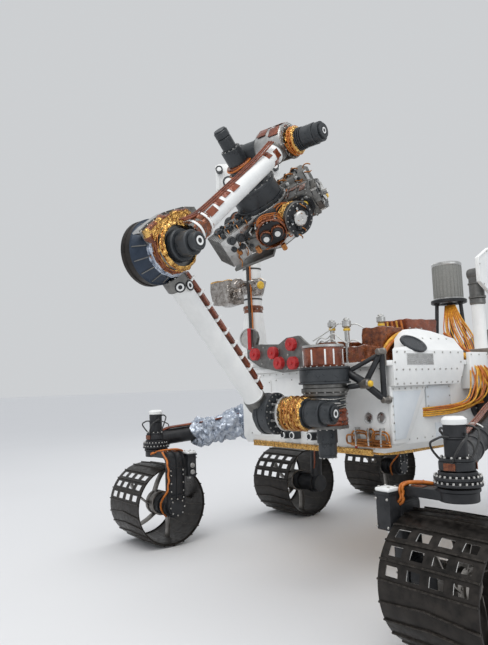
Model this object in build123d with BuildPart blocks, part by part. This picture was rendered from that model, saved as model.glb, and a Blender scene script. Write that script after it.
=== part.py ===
"""Six-wheeled planetary rover with a jointed arm, a camera mast and a radioisotope power source.

Frame: +X is the rover's front, +Y its port side, +Z up, with the floor under the wheels at z = 0.
The origin is below the middle of the whole machine. All sizes are in millimetres.
"""

import os
from math import cos, hypot, radians, sin

from build123d import *

os.makedirs("parts", exist_ok=True)

# Round pieces are drawn with flats, fewer on what is small or repeated, so the whole stays light
ROUND_FLATS = 16
REPEAT_FLATS = 10
LIMB_FLATS = 8
ROD_FLATS = 6

# Wheels and their places, measured along X from the middle axle
MIDDLE_AXLE_X = -338.0
FRONT_AXLE_X = MIDDLE_AXLE_X + 1220.0
REAR_AXLE_X = MIDDLE_AXLE_X - 1040.0
HALF_TRACK = 1145.0
WHEEL_BARS = 22
BAR_STEP = 360.0 / WHEEL_BARS
DRUM_RADIUS = 250.0
DRUM_SKIN = 4.0
WHEEL_WIDTH = 400.0
BAR_HEIGHT = 8.0
BAR_THICKNESS = 8.0
CHEVRON_RISE = 20.0
DRUM_APOTHEM = DRUM_RADIUS * cos(radians(BAR_STEP / 2))
SKIN_INNER_RADIUS = DRUM_RADIUS - DRUM_SKIN
AXLE_Z = DRUM_APOTHEM + BAR_HEIGHT

# Rows of windows lie half-way between bars, which are counted from the one on the floor
WINDOW_ROWS = (6.5, 7.5, 8.5)
STRAIGHT_BARS = (6, 7, 8, 9, 10)
WINDOW_LENGTH = 54.0
WINDOW_HEIGHT = 34.0
WINDOW_PITCH = 92.0
WINDOWS_IN_ROW = 4

# Hub, spokes and the drive that stands in the hub
HUB_RADIUS = 78.0
HUB_INNER = -70.0
HUB_OUTER = 24.0
HUB_CAP_RADIUS = 52.0
HUB_CAP_OUTER = 40.0
SPOKE_COUNT = 5
SPOKE_PARTS = 3
SPOKE_SWEEP = 38.0
SPOKE_THICKNESS = 7.0
SPOKE_WIDTH = 56.0
DRIVE_RADIUS = 70.0
DRIVE_GAP = 0.5

# Body box and deck
BODY_FRONT_X = MIDDLE_AXLE_X + 900.0
BODY_REAR_X = MIDDLE_AXLE_X - 700.0
BODY_HALF_WIDTH = 580.0
BELLY_Z = 655.0
DECK_UNDERSIDE_Z = 1075.0
DECK_Z = 1100.0
DECK_HALF_WIDTH = 620.0
DECK_OVERHANG = 20.0
DECK_FRONT_X = BODY_FRONT_X + DECK_OVERHANG
BODY_CENTRE_X = (BODY_FRONT_X + BODY_REAR_X) / 2
BODY_LENGTH = BODY_FRONT_X - BODY_REAR_X

# Hoist pads on the deck, each with a threaded hole
HOIST_PLACES = [
    # place along X and Y
    (290.0, -170.0),
    (-790.0, 565.0),
    (-790.0, -565.0),
]
HOIST_THREAD_RADIUS = 8.0
HOIST_THREAD_DEPTH = 32.0
HOIST_TOP_Z = DECK_Z + 20.0

# Hood on the port front corner, and the cheek panel below it
HOOD_FOOT_Z = 975.0
HOOD_INNER_Y = 470.0
HOOD_EDGE_Z = 1150.0
HOOD_OUTER_Y = DECK_HALF_WIDTH + 6.0
CHEEK_THICKNESS = 18.0

# Arm: a vertical azimuth axis ahead of the body, then a plane turned to the arm's heading
AZIMUTH_X = MIDDLE_AXLE_X + 1100.0
AZIMUTH_Y = 360.0
ARM_HEADING = 12.0
SHOULDER = (150.0, 862.0)
ELBOW = (840.0, 1580.0)
WRIST = (90.0, 2230.0)
UPPER_ARM_SIDE = 265.0
FOREARM_SIDE = 120.0
ARM_TUBE_RADIUS = 48.0
FOREARM_ANGLE = 139.1
CABLE_DRUM_RADIUS = 142.0
CABLE_DRUM_RIBS = 10
JOINT_GAP = 1.0

# Turret: its axis lies beside the arm's plane, off the wrist by a short bracket
TURRET_ANGLE = 224.7
TURRET_SIDE = 360.0
TURRET_AXIS_OFFSET = 94.0

# Mast
MAST_X = MIDDLE_AXLE_X + 804.0
MAST_Y = -559.0
MAST_RADIUS = 59.0
MAST_FOOT_RADIUS = 100.0
MAST_TOP_Z = 2000.0
HEAD_TILT_Z = 2220.0
HEAD_PAN = 50.0

# Places of the other deck and tail pieces
ANTENNA_TOWER_X = MIDDLE_AXLE_X - 500.0
ANTENNA_TOWER_Y = 30.0
DISH_X = MIDDLE_AXLE_X - 250.0
DISH_Y = 400.0
DISH_Z = 1660.0
POWER_X = MIDDLE_AXLE_X - 764.0
POWER_Z = 900.0
POWER_TILT = 24.0

# Suspension: a rocker each side with the front wheel, and a bogie with the other two
ROCKER_PIVOT = (MIDDLE_AXLE_X + 120.0, 770.0, 860.0)
ROCKER_KNEE = (MIDDLE_AXLE_X + 850.0, 980.0, 715.0)
BOGIE_PIVOT = (MIDDLE_AXLE_X - 480.0, 880.0, 740.0)
BOGIE_KNEE = (MIDDLE_AXLE_X - 660.0, 890.0, 720.0)
MIDDLE_KNEE = (MIDDLE_AXLE_X, 870.0, 600.0)
STEER_FLANGE_Z = 612.0
LIMB_Z = 672.0
ROCKER_RADIUS = 52.0
BOGIE_RADIUS = 44.0

ARM = Plane(
    origin=(AZIMUTH_X, AZIMUTH_Y, 0),
    x_dir=(cos(radians(ARM_HEADING)), sin(radians(ARM_HEADING)), 0),
    z_dir=(sin(radians(ARM_HEADING)), -cos(radians(ARM_HEADING)), 0),
)


def turned(plane, steps, flats=ROUND_FLATS):
    """A round piece about a plane's normal; each step is (low, high, radius)."""
    with BuildPart() as solid:
        for low, high, radius in steps:
            with BuildSketch(plane.offset(low)):
                RegularPolygon(radius, flats)
            extrude(amount=high - low)
    return solid.part


def rod(start, end, radius):
    """A thin bar from one point to another."""
    line = Vector(*end) - Vector(*start)
    return turned(Plane(origin=start, z_dir=line), [(0, line.length, radius)], ROD_FLATS)


def limb(points, radius):
    """A tube through a row of points, mitred at each bend."""
    with BuildPart() as solid:
        with BuildLine() as route:
            Polyline(*points)
        with BuildSketch(Plane(origin=route.line @ 0, z_dir=route.line % 0)):
            RegularPolygon(radius, LIMB_FLATS)
        sweep(path=route.line, transition=Transition.RIGHT)
    return solid.part


def block(low, high):
    """A box between two opposite corners."""
    size = Vector(*high) - Vector(*low)
    centre = (Vector(*high) + Vector(*low)) / 2
    with BuildPart() as solid:
        with Locations(centre):
            Box(size.X, size.Y, size.Z)
    return solid.part


def mirrored(point, side):
    """A point of the port side, or its mirror image on the starboard side."""
    return (point[0], side * point[1], point[2])


def across_arm(point):
    """The plane square to the arm's hinges, moved to a hinge given as (reach, height)."""
    return Plane(
        origin=ARM.from_local_coords(Vector(point[0], point[1], 0)),
        x_dir=ARM.x_dir,
        z_dir=ARM.z_dir,
    )


def at_arm(reach, height, side):
    """A point of the arm, by its reach, its height and its place to starboard of the azimuth axis."""
    return ARM.from_local_coords(Vector(reach, height, side))


def polar(radius, angle):
    """A point of a sketch, by its distance and its angle in degrees."""
    return (radius * cos(radians(angle)), radius * sin(radians(angle)))


def heading(plane, angle):
    """The direction in a plane at an angle from its x."""
    return plane.from_local_coords(Vector(*polar(1.0, angle))) - plane.origin


def around_wheel(bar):
    """The outward direction at a bar of the wheel, counted from the one on the floor."""
    angle = radians(bar * BAR_STEP - 90.0)
    return Vector(cos(angle), 0, sin(angle))


# Wheel drum: a flat-sided skin with bars across it and three rows of windows
wheel_plane = Plane(origin=(0, 0, 0), x_dir=(1, 0, 0), z_dir=(0, 1, 0))
half_width = WHEEL_WIDTH / 2
half_bar = BAR_THICKNESS / 2
skin_turn = 90.0 + BAR_STEP / 2
with BuildPart() as drum:
    with BuildSketch(wheel_plane.offset(-half_width)):
        RegularPolygon(DRUM_RADIUS, WHEEL_BARS, rotation=skin_turn)
        RegularPolygon(SKIN_INNER_RADIUS, WHEEL_BARS, rotation=skin_turn, mode=Mode.SUBTRACT)
    extrude(amount=WHEEL_WIDTH)
    for bar in range(WHEEL_BARS):
        outward = around_wheel(bar)
        rise = 0 if bar in STRAIGHT_BARS else CHEVRON_RISE / 2
        with BuildSketch(Plane(origin=outward * DRUM_APOTHEM, x_dir=(0, 1, 0), z_dir=outward)):
            with BuildLine():
                Polyline(
                    (-half_width, -rise - half_bar),
                    (0, rise - half_bar),
                    (half_width, -rise - half_bar),
                    (half_width, -rise + half_bar),
                    (0, rise + half_bar),
                    (-half_width, -rise + half_bar),
                    close=True,
                )
            make_face()
        extrude(amount=BAR_HEIGHT)
    for row in WINDOW_ROWS:
        outward = around_wheel(row)
        with BuildSketch(Plane(origin=outward * DRUM_RADIUS, x_dir=(0, 1, 0), z_dir=outward)):
            with GridLocations(WINDOW_PITCH, 1, WINDOWS_IN_ROW, 1):
                Rectangle(WINDOW_LENGTH, WINDOW_HEIGHT)
        extrude(amount=2 * DRUM_SKIN, both=True, mode=Mode.SUBTRACT)

# Hub with its curved spokes, out to the skin
spoke_root = HUB_RADIUS - 6.0
spoke_tip = SKIN_INNER_RADIUS + 4.0
with BuildPart() as hub:
    hub_steps = [(HUB_INNER, HUB_OUTER, HUB_RADIUS), (HUB_OUTER, HUB_CAP_OUTER, HUB_CAP_RADIUS)]
    add(turned(wheel_plane, hub_steps, REPEAT_FLATS))
    with BuildSketch(wheel_plane.offset(-SPOKE_WIDTH / 2)):
        for spoke in range(SPOKE_COUNT):
            leading = []
            trailing = []
            for part in range(SPOKE_PARTS + 1):
                share = part / SPOKE_PARTS
                radius = spoke_root + (spoke_tip - spoke_root) * share
                turn = spoke * 360.0 / SPOKE_COUNT + SPOKE_SWEEP * share**0.6
                leading.append(Vector(radius, SPOKE_THICKNESS / 2).rotate(Axis.Z, turn))
                trailing.append(Vector(radius, -SPOKE_THICKNESS / 2).rotate(Axis.Z, turn))
            with BuildLine():
                Polyline(*leading, *reversed(trailing), close=True)
            make_face()
        RegularPolygon(SKIN_INNER_RADIUS, WHEEL_BARS, rotation=skin_turn, mode=Mode.INTERSECT)
    extrude(amount=SPOKE_WIDTH)

# Knuckle of a steered wheel on the port side, about the wheel's own centre; to starboard it is turned round
steer_top = STEER_FLANGE_Z - 6.0 - AXLE_Z
plate_inner = -262.0
plate_outer = -222.0
plate_half = 62.0
BEND_ANGLES = (90, 120, 150, 180)
with BuildPart() as knuckle_form:
    add(turned(Plane.XY, [(steer_top - 50.0, steer_top, 78.0)], REPEAT_FLATS))
    with BuildSketch(Plane.YZ.offset(-plate_half)):
        with BuildLine():
            bend = [Vector(plate_inner + 70, steer_top - 78) + Vector(*polar(70, a)) for a in BEND_ANGLES]
            Polyline(
                (0, steer_top - 8),
                *bend,
                (plate_inner, 0),
                (plate_outer, 0),
                (plate_outer, steer_top - 72),
                (plate_outer + 24, steer_top - 48),
                (0, steer_top - 48),
                close=True,
            )
        make_face()
    extrude(amount=2 * plate_half)
    drive_steps = [
        (plate_inner, plate_outer, plate_half),
        (plate_outer, HUB_INNER - DRIVE_GAP, DRIVE_RADIUS),
    ]
    add(turned(wheel_plane, drive_steps, REPEAT_FLATS))
    add(block((plate_half, plate_inner - 6, 84), (plate_half + 74, plate_outer + 14, 214)))

WHEELS = [
    # name, place along X, side, steered
    ("front_left", FRONT_AXLE_X, 1, True),
    ("front_right", FRONT_AXLE_X, -1, True),
    ("middle_left", MIDDLE_AXLE_X, 1, False),
    ("middle_right", MIDDLE_AXLE_X, -1, False),
    ("rear_left", REAR_AXLE_X, 1, True),
    ("rear_right", REAR_AXLE_X, -1, True),
]
for name, wheel_x, side, steered in WHEELS:
    place = Location((wheel_x, side * HALF_TRACK, AXLE_Z))
    with BuildPart() as wheel_drum:
        add(drum.part.moved(place))
    wheel_drum.part.label = f"wheel_drum_{name}"
    export_step(wheel_drum.part, f"parts/wheel_drum_{name}.step")
    with BuildPart() as wheel_hub:
        add((hub.part if side > 0 else hub.part.mirror(Plane.XZ)).moved(place))
    wheel_hub.part.label = f"wheel_hub_{name}"
    export_step(wheel_hub.part, f"parts/wheel_hub_{name}.step")
    if steered:
        with BuildPart() as knuckle:
            add(knuckle_form.part.rotate(Axis.Z, 0 if side > 0 else 180).moved(place))
        knuckle.part.label = f"knuckle_{name}"
        export_step(knuckle.part, f"parts/knuckle_{name}.step")

# Steering motor: flange, gearbox, motor and cap
STEERING_MOTOR = [
    (STEER_FLANGE_Z, STEER_FLANGE_Z + 28.0, 88.0),
    (STEER_FLANGE_Z + 28.0, 700.0, 66.0),
    (700.0, 833.0, 42.5),
    (833.0, 862.0, 46.0),
]

for side_name, side in (("left", 1), ("right", -1)):
    rocker_pivot = mirrored(ROCKER_PIVOT, side)
    bogie_pivot = mirrored(BOGIE_PIVOT, side)
    outboard = Plane(origin=(0, 0, 0), x_dir=(1, 0, 0), z_dir=(0, side, 0))
    at_rocker_pivot = outboard.shift_origin((ROCKER_PIVOT[0], 0, ROCKER_PIVOT[2]))
    at_bogie_pivot = outboard.shift_origin((BOGIE_PIVOT[0], 0, BOGIE_PIVOT[2]))
    at_middle_axle = outboard.shift_origin((MIDDLE_AXLE_X, 0, AXLE_Z))

    with BuildPart() as rocker:
        rocker_route = [
            (FRONT_AXLE_X, side * HALF_TRACK, LIMB_Z),
            mirrored(ROCKER_KNEE, side),
            rocker_pivot,
            (bogie_pivot[0], rocker_pivot[1], bogie_pivot[2]),
        ]
        add(limb(rocker_route, ROCKER_RADIUS))
        add(turned(Plane(origin=(FRONT_AXLE_X, side * HALF_TRACK, 0)), STEERING_MOTOR, REPEAT_FLATS))
        add(turned(at_rocker_pivot, [(BODY_HALF_WIDTH, 830, 74), (830, 842, 50)], REPEAT_FLATS))
        add(turned(at_bogie_pivot, [(712, 822, 66)], REPEAT_FLATS))
    rocker.part.label = f"rocker_{side_name}"
    export_step(rocker.part, f"parts/rocker_{side_name}.step")

    with BuildPart() as bogie:
        bogie_route = [
            (REAR_AXLE_X, side * HALF_TRACK, LIMB_Z),
            mirrored(BOGIE_KNEE, side),
            bogie_pivot,
            mirrored(MIDDLE_KNEE, side),
            (MIDDLE_AXLE_X, side * 885.0, AXLE_Z),
        ]
        add(limb(bogie_route, BOGIE_RADIUS))
        add(turned(Plane(origin=(REAR_AXLE_X, side * HALF_TRACK, 0)), STEERING_MOTOR, REPEAT_FLATS))
        add(turned(at_bogie_pivot, [(822, 936, 62)], REPEAT_FLATS))
        middle_drive = [(840, HALF_TRACK + HUB_INNER - DRIVE_GAP, DRIVE_RADIUS)]
        add(turned(at_middle_axle, middle_drive, REPEAT_FLATS))
    bogie.part.label = f"bogie_{side_name}"
    export_step(bogie.part, f"parts/bogie_{side_name}.step")

# Body: one white box with bevelled lower edges, closed inside
with BuildPart() as body:
    with BuildSketch(Plane.YZ.offset(BODY_REAR_X)):
        with Locations((0, (BELLY_Z + DECK_UNDERSIDE_Z) / 2)):
            Rectangle(2 * BODY_HALF_WIDTH, DECK_UNDERSIDE_Z - BELLY_Z)
        chamfer(vertices().group_by(Axis.Y)[0], 36.0)
    extrude(amount=BODY_LENGTH)
body.part.label = "body"
export_step(body.part, "parts/body.step")

with BuildPart() as deck:
    with BuildSketch(Plane.XY.offset(DECK_UNDERSIDE_Z)):
        with Locations((BODY_CENTRE_X, 0)):
            Rectangle(BODY_LENGTH + 2 * DECK_OVERHANG, 2 * DECK_HALF_WIDTH)
        chamfer(vertices(), 20.0)
    extrude(amount=DECK_Z - DECK_UNDERSIDE_Z)
    for hoist_x, hoist_y in HOIST_PLACES:
        root_steps = [(DECK_UNDERSIDE_Z + 5.0, DECK_Z, 24.0)]
        add(turned(Plane(origin=(hoist_x, hoist_y, 0)), root_steps, REPEAT_FLATS), mode=Mode.SUBTRACT)
deck.part.label = "deck"
export_step(deck.part, "parts/deck.step")

with BuildPart() as belly:
    with BuildSketch(Plane.XY.offset(BELLY_Z - 14.0)):
        with Locations((BODY_CENTRE_X, 0)):
            Rectangle(BODY_LENGTH - 60.0, 2 * BODY_HALF_WIDTH - 90.0)
        chamfer(vertices(), 50.0)
    extrude(amount=14.0)
belly.part.label = "belly_pan"
export_step(belly.part, "parts/belly_pan.step")

# Hood over the port front corner: its top falls away outwards and to the rear, and its front is cut back
with BuildPart() as corner_cover:
    with BuildSketch(Plane.XZ.offset(-HOOD_OUTER_Y)):
        with BuildLine():
            Polyline(
                (20, HOOD_FOOT_Z),
                (BODY_FRONT_X - 2, HOOD_FOOT_Z),
                (BODY_FRONT_X - 2, HOOD_EDGE_Z),
                (400, 1174),
                (310, 1249),
                (274, 1269),
                (188, 1275),
                (87, 1263),
                (-60, 1222),
                (-34, 1165),
                (-27, 1064),
                close=True,
            )
        make_face()
    extrude(amount=HOOD_OUTER_Y - HOOD_INNER_Y)
    with BuildSketch(Plane.YZ.offset(-200)):
        with BuildLine():
            Polyline((HOOD_OUTER_Y, HOOD_EDGE_Z), (HOOD_OUTER_Y, 1400), (480, 1400), (480, 1296), close=True)
        make_face()
    extrude(amount=900, mode=Mode.SUBTRACT)
    with BuildSketch(Plane.XY.offset(DECK_Z)):
        with BuildLine():
            Polyline((BODY_FRONT_X, HOOD_OUTER_Y), (BODY_FRONT_X, 450), (318, 450), close=True)
        make_face()
    extrude(amount=200, mode=Mode.SUBTRACT)
    add(deck.part, mode=Mode.SUBTRACT)
    add(body.part, mode=Mode.SUBTRACT)
corner_cover.part.label = "corner_cover"
export_step(corner_cover.part, "parts/corner_cover.step")

# Cheek panel with a slanted rear edge below the hood, and the box behind it over the rocker's pivot
with BuildPart() as cheek_panel:
    with BuildSketch(Plane.XZ.offset(-BODY_HALF_WIDTH - CHEEK_THICKNESS)):
        with BuildLine():
            Polyline(
                (BODY_FRONT_X, BELLY_Z + 45),
                (BODY_FRONT_X, HOOD_FOOT_Z),
                (276, HOOD_FOOT_Z),
                (450, BELLY_Z + 45),
                close=True,
            )
        make_face()
    extrude(amount=CHEEK_THICKNESS)
    add(block((-240, BODY_HALF_WIDTH, 945), (-62, DECK_HALF_WIDTH + 24, DECK_UNDERSIDE_Z)))
    add(block((-240, DECK_HALF_WIDTH, DECK_UNDERSIDE_Z), (-62, DECK_HALF_WIDTH + 24, 1142)))
cheek_panel.part.label = "cheek_panel"
export_step(cheek_panel.part, "parts/cheek_panel.step")

DECK_BOXES = [
    # low corner along X and Y, then length, width and height
    (242.0, 312.0, 170.0, 126.0, 185.0),
    (414.0, 300.0, 106.0, 138.0, 84.0),
    (302.0, 60.0, 210.0, 170.0, 120.0),
    (-100.0, 240.0, 260.0, 180.0, 240.0),
    (2.0, -120.0, 180.0, 260.0, 70.0),
    (BODY_REAR_X + 60.0, -520.0, 240.0, 300.0, 110.0),
    (BODY_REAR_X + 60.0, 200.0, 150.0, 180.0, 80.0),
]
with BuildPart() as deck_boxes:
    for box_x, box_y, length, width, height in DECK_BOXES:
        add(block((box_x, box_y, DECK_Z), (box_x + length, box_y + width, DECK_Z + height)))
deck_boxes.part.label = "deck_boxes"
export_step(deck_boxes.part, "parts/deck_boxes.step")

DECK_POSTS = [
    # place along X and Y, foot, shoulder and top heights
    (480.0, 264.0, DECK_Z, 1300.0, 1348.0),
    (470.0, 146.0, DECK_Z + 120.0, 1312.0, 1350.0),
    (330.0, 376.0, DECK_Z + 185.0, 1320.0, 1362.0),
]
with BuildPart() as deck_posts:
    for post_x, post_y, foot_z, shoulder_z, top_z in DECK_POSTS:
        post_steps = [(foot_z, shoulder_z, 15.0), (shoulder_z, top_z, 24.0)]
        add(turned(Plane(origin=(post_x, post_y, 0)), post_steps, ROD_FLATS))
deck_posts.part.label = "deck_posts"
export_step(deck_posts.part, "parts/deck_posts.step")

with BuildPart() as hoist_pads:
    for hoist_x, hoist_y in HOIST_PLACES:
        pad_plane = Plane(origin=(hoist_x, hoist_y, 0))
        pad_steps = [(DECK_Z, HOIST_TOP_Z, 38.0), (DECK_UNDERSIDE_Z + 5.0, DECK_Z, 24.0)]
        add(turned(pad_plane, pad_steps, REPEAT_FLATS))
        with Locations((hoist_x, hoist_y, HOIST_TOP_Z)):
            Hole(HOIST_THREAD_RADIUS, HOIST_THREAD_DEPTH)
hoist_pads.part.label = "hoist_pads"
export_step(hoist_pads.part, "parts/hoist_pads.step")

# Sample inlets: three square funnels on the deck with a hinged lid each
INLETS = [
    # place along X and Y
    (BODY_FRONT_X - 120.0, -60.0),
    (BODY_FRONT_X - 120.0, -170.0),
    (BODY_FRONT_X - 120.0, -280.0),
]
INLET_HALF_WIDTH = 32.0
INLET_MOUTH = 46.0
INLET_FLOOR = 34.0
INLET_DEPTH = 50.0
INLET_TOP_Z = DECK_Z + 70.0
with BuildPart() as inlets:
    for inlet_x, inlet_y in INLETS:
        low = (inlet_x - INLET_HALF_WIDTH, inlet_y - INLET_HALF_WIDTH, DECK_Z)
        add(block(low, (inlet_x + INLET_HALF_WIDTH, inlet_y + INLET_HALF_WIDTH, INLET_TOP_Z)))
        for level, width in ((INLET_TOP_Z, INLET_MOUTH), (INLET_TOP_Z - INLET_DEPTH, INLET_FLOOR)):
            with BuildSketch(Plane.XY.offset(level)):
                with Locations((inlet_x, inlet_y)):
                    Rectangle(width, width)
        loft(mode=Mode.SUBTRACT)
inlets.part.label = "sample_inlets"
export_step(inlets.part, "parts/sample_inlets.step")
for number, (inlet_x, inlet_y) in enumerate(INLETS, start=1):
    with BuildPart() as lid:
        with BuildSketch(Plane.XY.offset(INLET_TOP_Z + 0.3)):
            with Locations((inlet_x - 4.0, inlet_y)):
                Rectangle(2 * INLET_HALF_WIDTH + 8.0, 2 * INLET_HALF_WIDTH)
        extrude(amount=6.0)
    lid.part.label = f"inlet_lid_{number}"
    export_step(lid.part, f"parts/inlet_lid_{number}.step")

# Shoulder mount: the fixed azimuth housing, and on each side a truss of struts to the front panel
azimuth_plane = Plane(origin=(AZIMUTH_X, AZIMUTH_Y, 0))
PAD_X = BODY_FRONT_X + 34.0
PAD_TOP_Z = 1142.0
PAD_FOOT_Z = 912.0
TRUSS = [
    # start and end, each as its distance behind the azimuth axis, its distance to the side and its height
    ((166.0, 228.0, PAD_TOP_Z), (166.0, 228.0, PAD_FOOT_Z), 14.0),
    ((162.0, 222.0, PAD_TOP_Z - 8.0), (104.0, 168.0, 992.0), 14.0),
    ((162.0, 222.0, PAD_FOOT_Z + 8.0), (104.0, 168.0, 992.0), 17.0),
    ((110.0, 172.0, 990.0), (70.0, 84.0, 1052.0), 20.0),
    ((106.0, 168.0, 988.0), (60.0, 90.0, 978.0), 13.0),
    ((160.0, 216.0, PAD_TOP_Z - 12.0), (76.0, 96.0, 1056.0), 11.0),
]
with BuildPart() as arm_mount:
    housing_steps = [(958, 997, 116), (997, 1080, 128), (1080, 1188, 104)]
    add(turned(azimuth_plane, housing_steps))
    for side in (1, -1):
        for start, end, radius in TRUSS:
            first = (AZIMUTH_X - start[0], AZIMUTH_Y + side * start[1], start[2])
            last = (AZIMUTH_X - end[0], AZIMUTH_Y + side * end[1], end[2])
            add(rod(first, last, radius))
        for pad_z in (PAD_TOP_Z, PAD_FOOT_Z):
            pad_plane = Plane(origin=(0, AZIMUTH_Y + side * 228.0, pad_z), z_dir=(1, 0, 0))
            seat_x = DECK_FRONT_X if pad_z > DECK_UNDERSIDE_Z else BODY_FRONT_X
            add(turned(pad_plane, [(seat_x, PAD_X + 14.0, 24.0)], LIMB_FLATS))
        add(
            block(
                (DECK_FRONT_X, AZIMUTH_Y + side * 228.0 - 20, DECK_UNDERSIDE_Z),
                (PAD_X - 2, AZIMUTH_Y + side * 228.0 + 20, PAD_TOP_Z),
            )
        )
arm_mount.part.label = "arm_mount"
export_step(arm_mount.part, "parts/arm_mount.step")

# Shoulder yoke: turns about the azimuth axis and carries the elevation drive
with BuildPart() as shoulder_yoke:
    add(turned(azimuth_plane, [(783, 957, 108), (712, 783, 50), (643, 712, 44.5)]))
    shoulder_steps = [(-150, -140, 34), (-140, -88, 48), (-88, 0, 61), (0, 140, 80), (140, 179, 66)]
    add(turned(across_arm(SHOULDER), shoulder_steps))
shoulder_yoke.part.label = "shoulder_yoke"
export_step(shoulder_yoke.part, "parts/shoulder_yoke.step")


def arm_tube(start, end, side, start_gap, end_gap):
    """A round tube between two hinges of the arm, short of each by a gap, with a collar at each end."""
    length = hypot(end[0] - start[0], end[1] - start[1])
    first = at_arm(start[0], start[1], side)
    along = (at_arm(end[0], end[1], side) - first).normalized()
    collar = ARM_TUBE_RADIUS + 7.0
    steps = [
        (start_gap, length - end_gap, ARM_TUBE_RADIUS),
        (start_gap, start_gap + 60.0, collar),
        (length - end_gap - 60.0, length - end_gap, collar),
    ]
    return turned(Plane(origin=first, z_dir=along), steps)


def ribs(hinge, count, outline):
    """Flat ribs round a hinge of the arm; the outline is (distance, side) points in a rib's own plane."""
    with BuildPart() as solid:
        for rib in range(count):
            hinge_plane = across_arm(hinge)
            outward = heading(hinge_plane, rib * 360.0 / count)
            plane = Plane(hinge_plane.origin, x_dir=outward, z_dir=outward.cross(hinge_plane.z_dir))
            with BuildSketch(plane.offset(-3.0)):
                with BuildLine():
                    Polyline(*outline, close=True)
                make_face()
            extrude(amount=6.0)
    return solid.part


UPPER_TUBE_END = 128.0
with BuildPart() as upper_arm:
    add(turned(across_arm(SHOULDER), [(180, 257, 102), (257, 290, 70)]))
    add(arm_tube(SHOULDER, ELBOW, UPPER_ARM_SIDE, 60.0, UPPER_TUBE_END))
upper_arm.part.label = "upper_arm"
export_step(upper_arm.part, "parts/upper_arm.step")

# Cable drum at the elbow: a wide rim, and a ribbed cone towards the drive
RIM_SIDE = 262.0
CONE_SIDE = 205.0
CONE_RADIUS = 108.0
with BuildPart() as elbow_cable_drum:
    add(turned(across_arm(ELBOW), [(RIM_SIDE, 322, CABLE_DRUM_RADIUS), (322, 334, 96)]))
    for level, radius in ((RIM_SIDE, CABLE_DRUM_RADIUS - 8.0), (CONE_SIDE, CONE_RADIUS)):
        with BuildSketch(across_arm(ELBOW).offset(level)):
            RegularPolygon(radius, ROUND_FLATS)
    loft()
    rib_outline = [(84, CONE_SIDE + 2), (84, 197), (106, 197), (134, 257), (130, RIM_SIDE + 2)]
    add(ribs(ELBOW, CABLE_DRUM_RIBS, rib_outline))
    add(arm_tube(SHOULDER, ELBOW, UPPER_ARM_SIDE, 60.0, UPPER_TUBE_END), mode=Mode.SUBTRACT)
elbow_cable_drum.part.label = "elbow_cable_drum"
export_step(elbow_cable_drum.part, "parts/elbow_cable_drum.step")

# Forearm: elbow drive with a shell over the cable drum's edge, tube and wrist drive with its cover
FOREARM_SHELL = [
    # place along the forearm from the hinge, and distance to its upper side
    (-85.0, 137.0),
    (0.0, 137.0),
    (80.0, 130.0),
    (190.0, 94.0),
]
FOREARM_WEB = FOREARM_SHELL + [(250.0, 60.0), (250.0, -60.0), (40.0, -60.0), (-40.0, -20.0), (-85.0, 60.0)]
FOREARM_NECK = [(0.0, 58.0), (150.0, 58.0), (150.0, -58.0), (0.0, -58.0)]
SHELL_THICKNESS = 9.0


def by_forearm(place):
    """A point in the arm's plane from its place along the forearm and its distance to the upper side."""
    return Vector(*polar(place[0], FOREARM_ANGLE)) + Vector(*polar(place[1], FOREARM_ANGLE - 90.0))


shell_inside = [(along, rise - SHELL_THICKNESS) for along, rise in reversed(FOREARM_SHELL)]
FOREARM_PLATES = [
    # outline, place to starboard, thickness
    (FOREARM_WEB, 176.0, 14.0),
    (FOREARM_SHELL + shell_inside, 176.0, 54.0),
    (FOREARM_NECK, 125.0, 52.0),
]
with BuildPart() as forearm_drives:
    add(turned(across_arm(ELBOW), [(0, 35, 36), (35, 100, 50), (100, 125, 68), (125, 180, 100)]))
    add(turned(across_arm(WRIST), [(-130, -105, 38), (-105, 20, 57), (20, 65, 66), (65, 250, 84)]))
    for outline, place, thickness in FOREARM_PLATES:
        with BuildSketch(across_arm(ELBOW).offset(place)):
            with BuildLine():
                Polyline(*[by_forearm(point) for point in outline], close=True)
            make_face()
        extrude(amount=thickness)
    with BuildSketch(across_arm(WRIST).offset(70)):
        with BuildLine():
            Polyline((0, 0), polar(101, -35), polar(101, 0), polar(101, 30), polar(101, 60))
            Polyline(polar(101, 60), polar(101, 90), polar(101, 120), polar(101, 145), (0, 0))
        make_face()
    extrude(amount=160)
    add(arm_tube(ELBOW, WRIST, FOREARM_SIDE, 80.0, 60.0), mode=Mode.SUBTRACT)
forearm_drives.part.label = "forearm_drives"
export_step(forearm_drives.part, "parts/forearm_drives.step")

with BuildPart() as forearm_tube:
    add(arm_tube(ELBOW, WRIST, FOREARM_SIDE, 80.0, 60.0))
forearm_tube.part.label = "forearm_tube"
export_step(forearm_tube.part, "parts/forearm_tube.step")

# The turret's frame: x towards port, z along its axis from the motor to the tools
turn = radians(TURRET_ANGLE)
turret_start = (WRIST[0] - TURRET_AXIS_OFFSET * sin(turn), WRIST[1] + TURRET_AXIS_OFFSET * cos(turn))
turret_next = (turret_start[0] + cos(turn), turret_start[1] + sin(turn))
TURRET = Plane(
    origin=at_arm(*turret_start, TURRET_SIDE),
    x_dir=ARM.z_dir * -1,
    z_dir=at_arm(*turret_next, TURRET_SIDE) - at_arm(*turret_start, TURRET_SIDE),
)


def tool_plane(angle, depth):
    """The plane of a turret tool: its normal points outwards at an angle, its x along the turret's axis."""
    centre = TURRET.from_local_coords(Vector(0, 0, depth))
    return Plane(origin=centre, x_dir=TURRET.z_dir, z_dir=heading(TURRET, angle))


def tool_box(plane, low, high, along, across, shift=0.0):
    """A box on a tool's plane, between two distances outwards."""
    with BuildPart() as solid:
        with BuildSketch(plane.offset(low)):
            with Locations((0, shift)):
                Rectangle(along, across)
        extrude(amount=high - low)
    return solid.part


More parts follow.
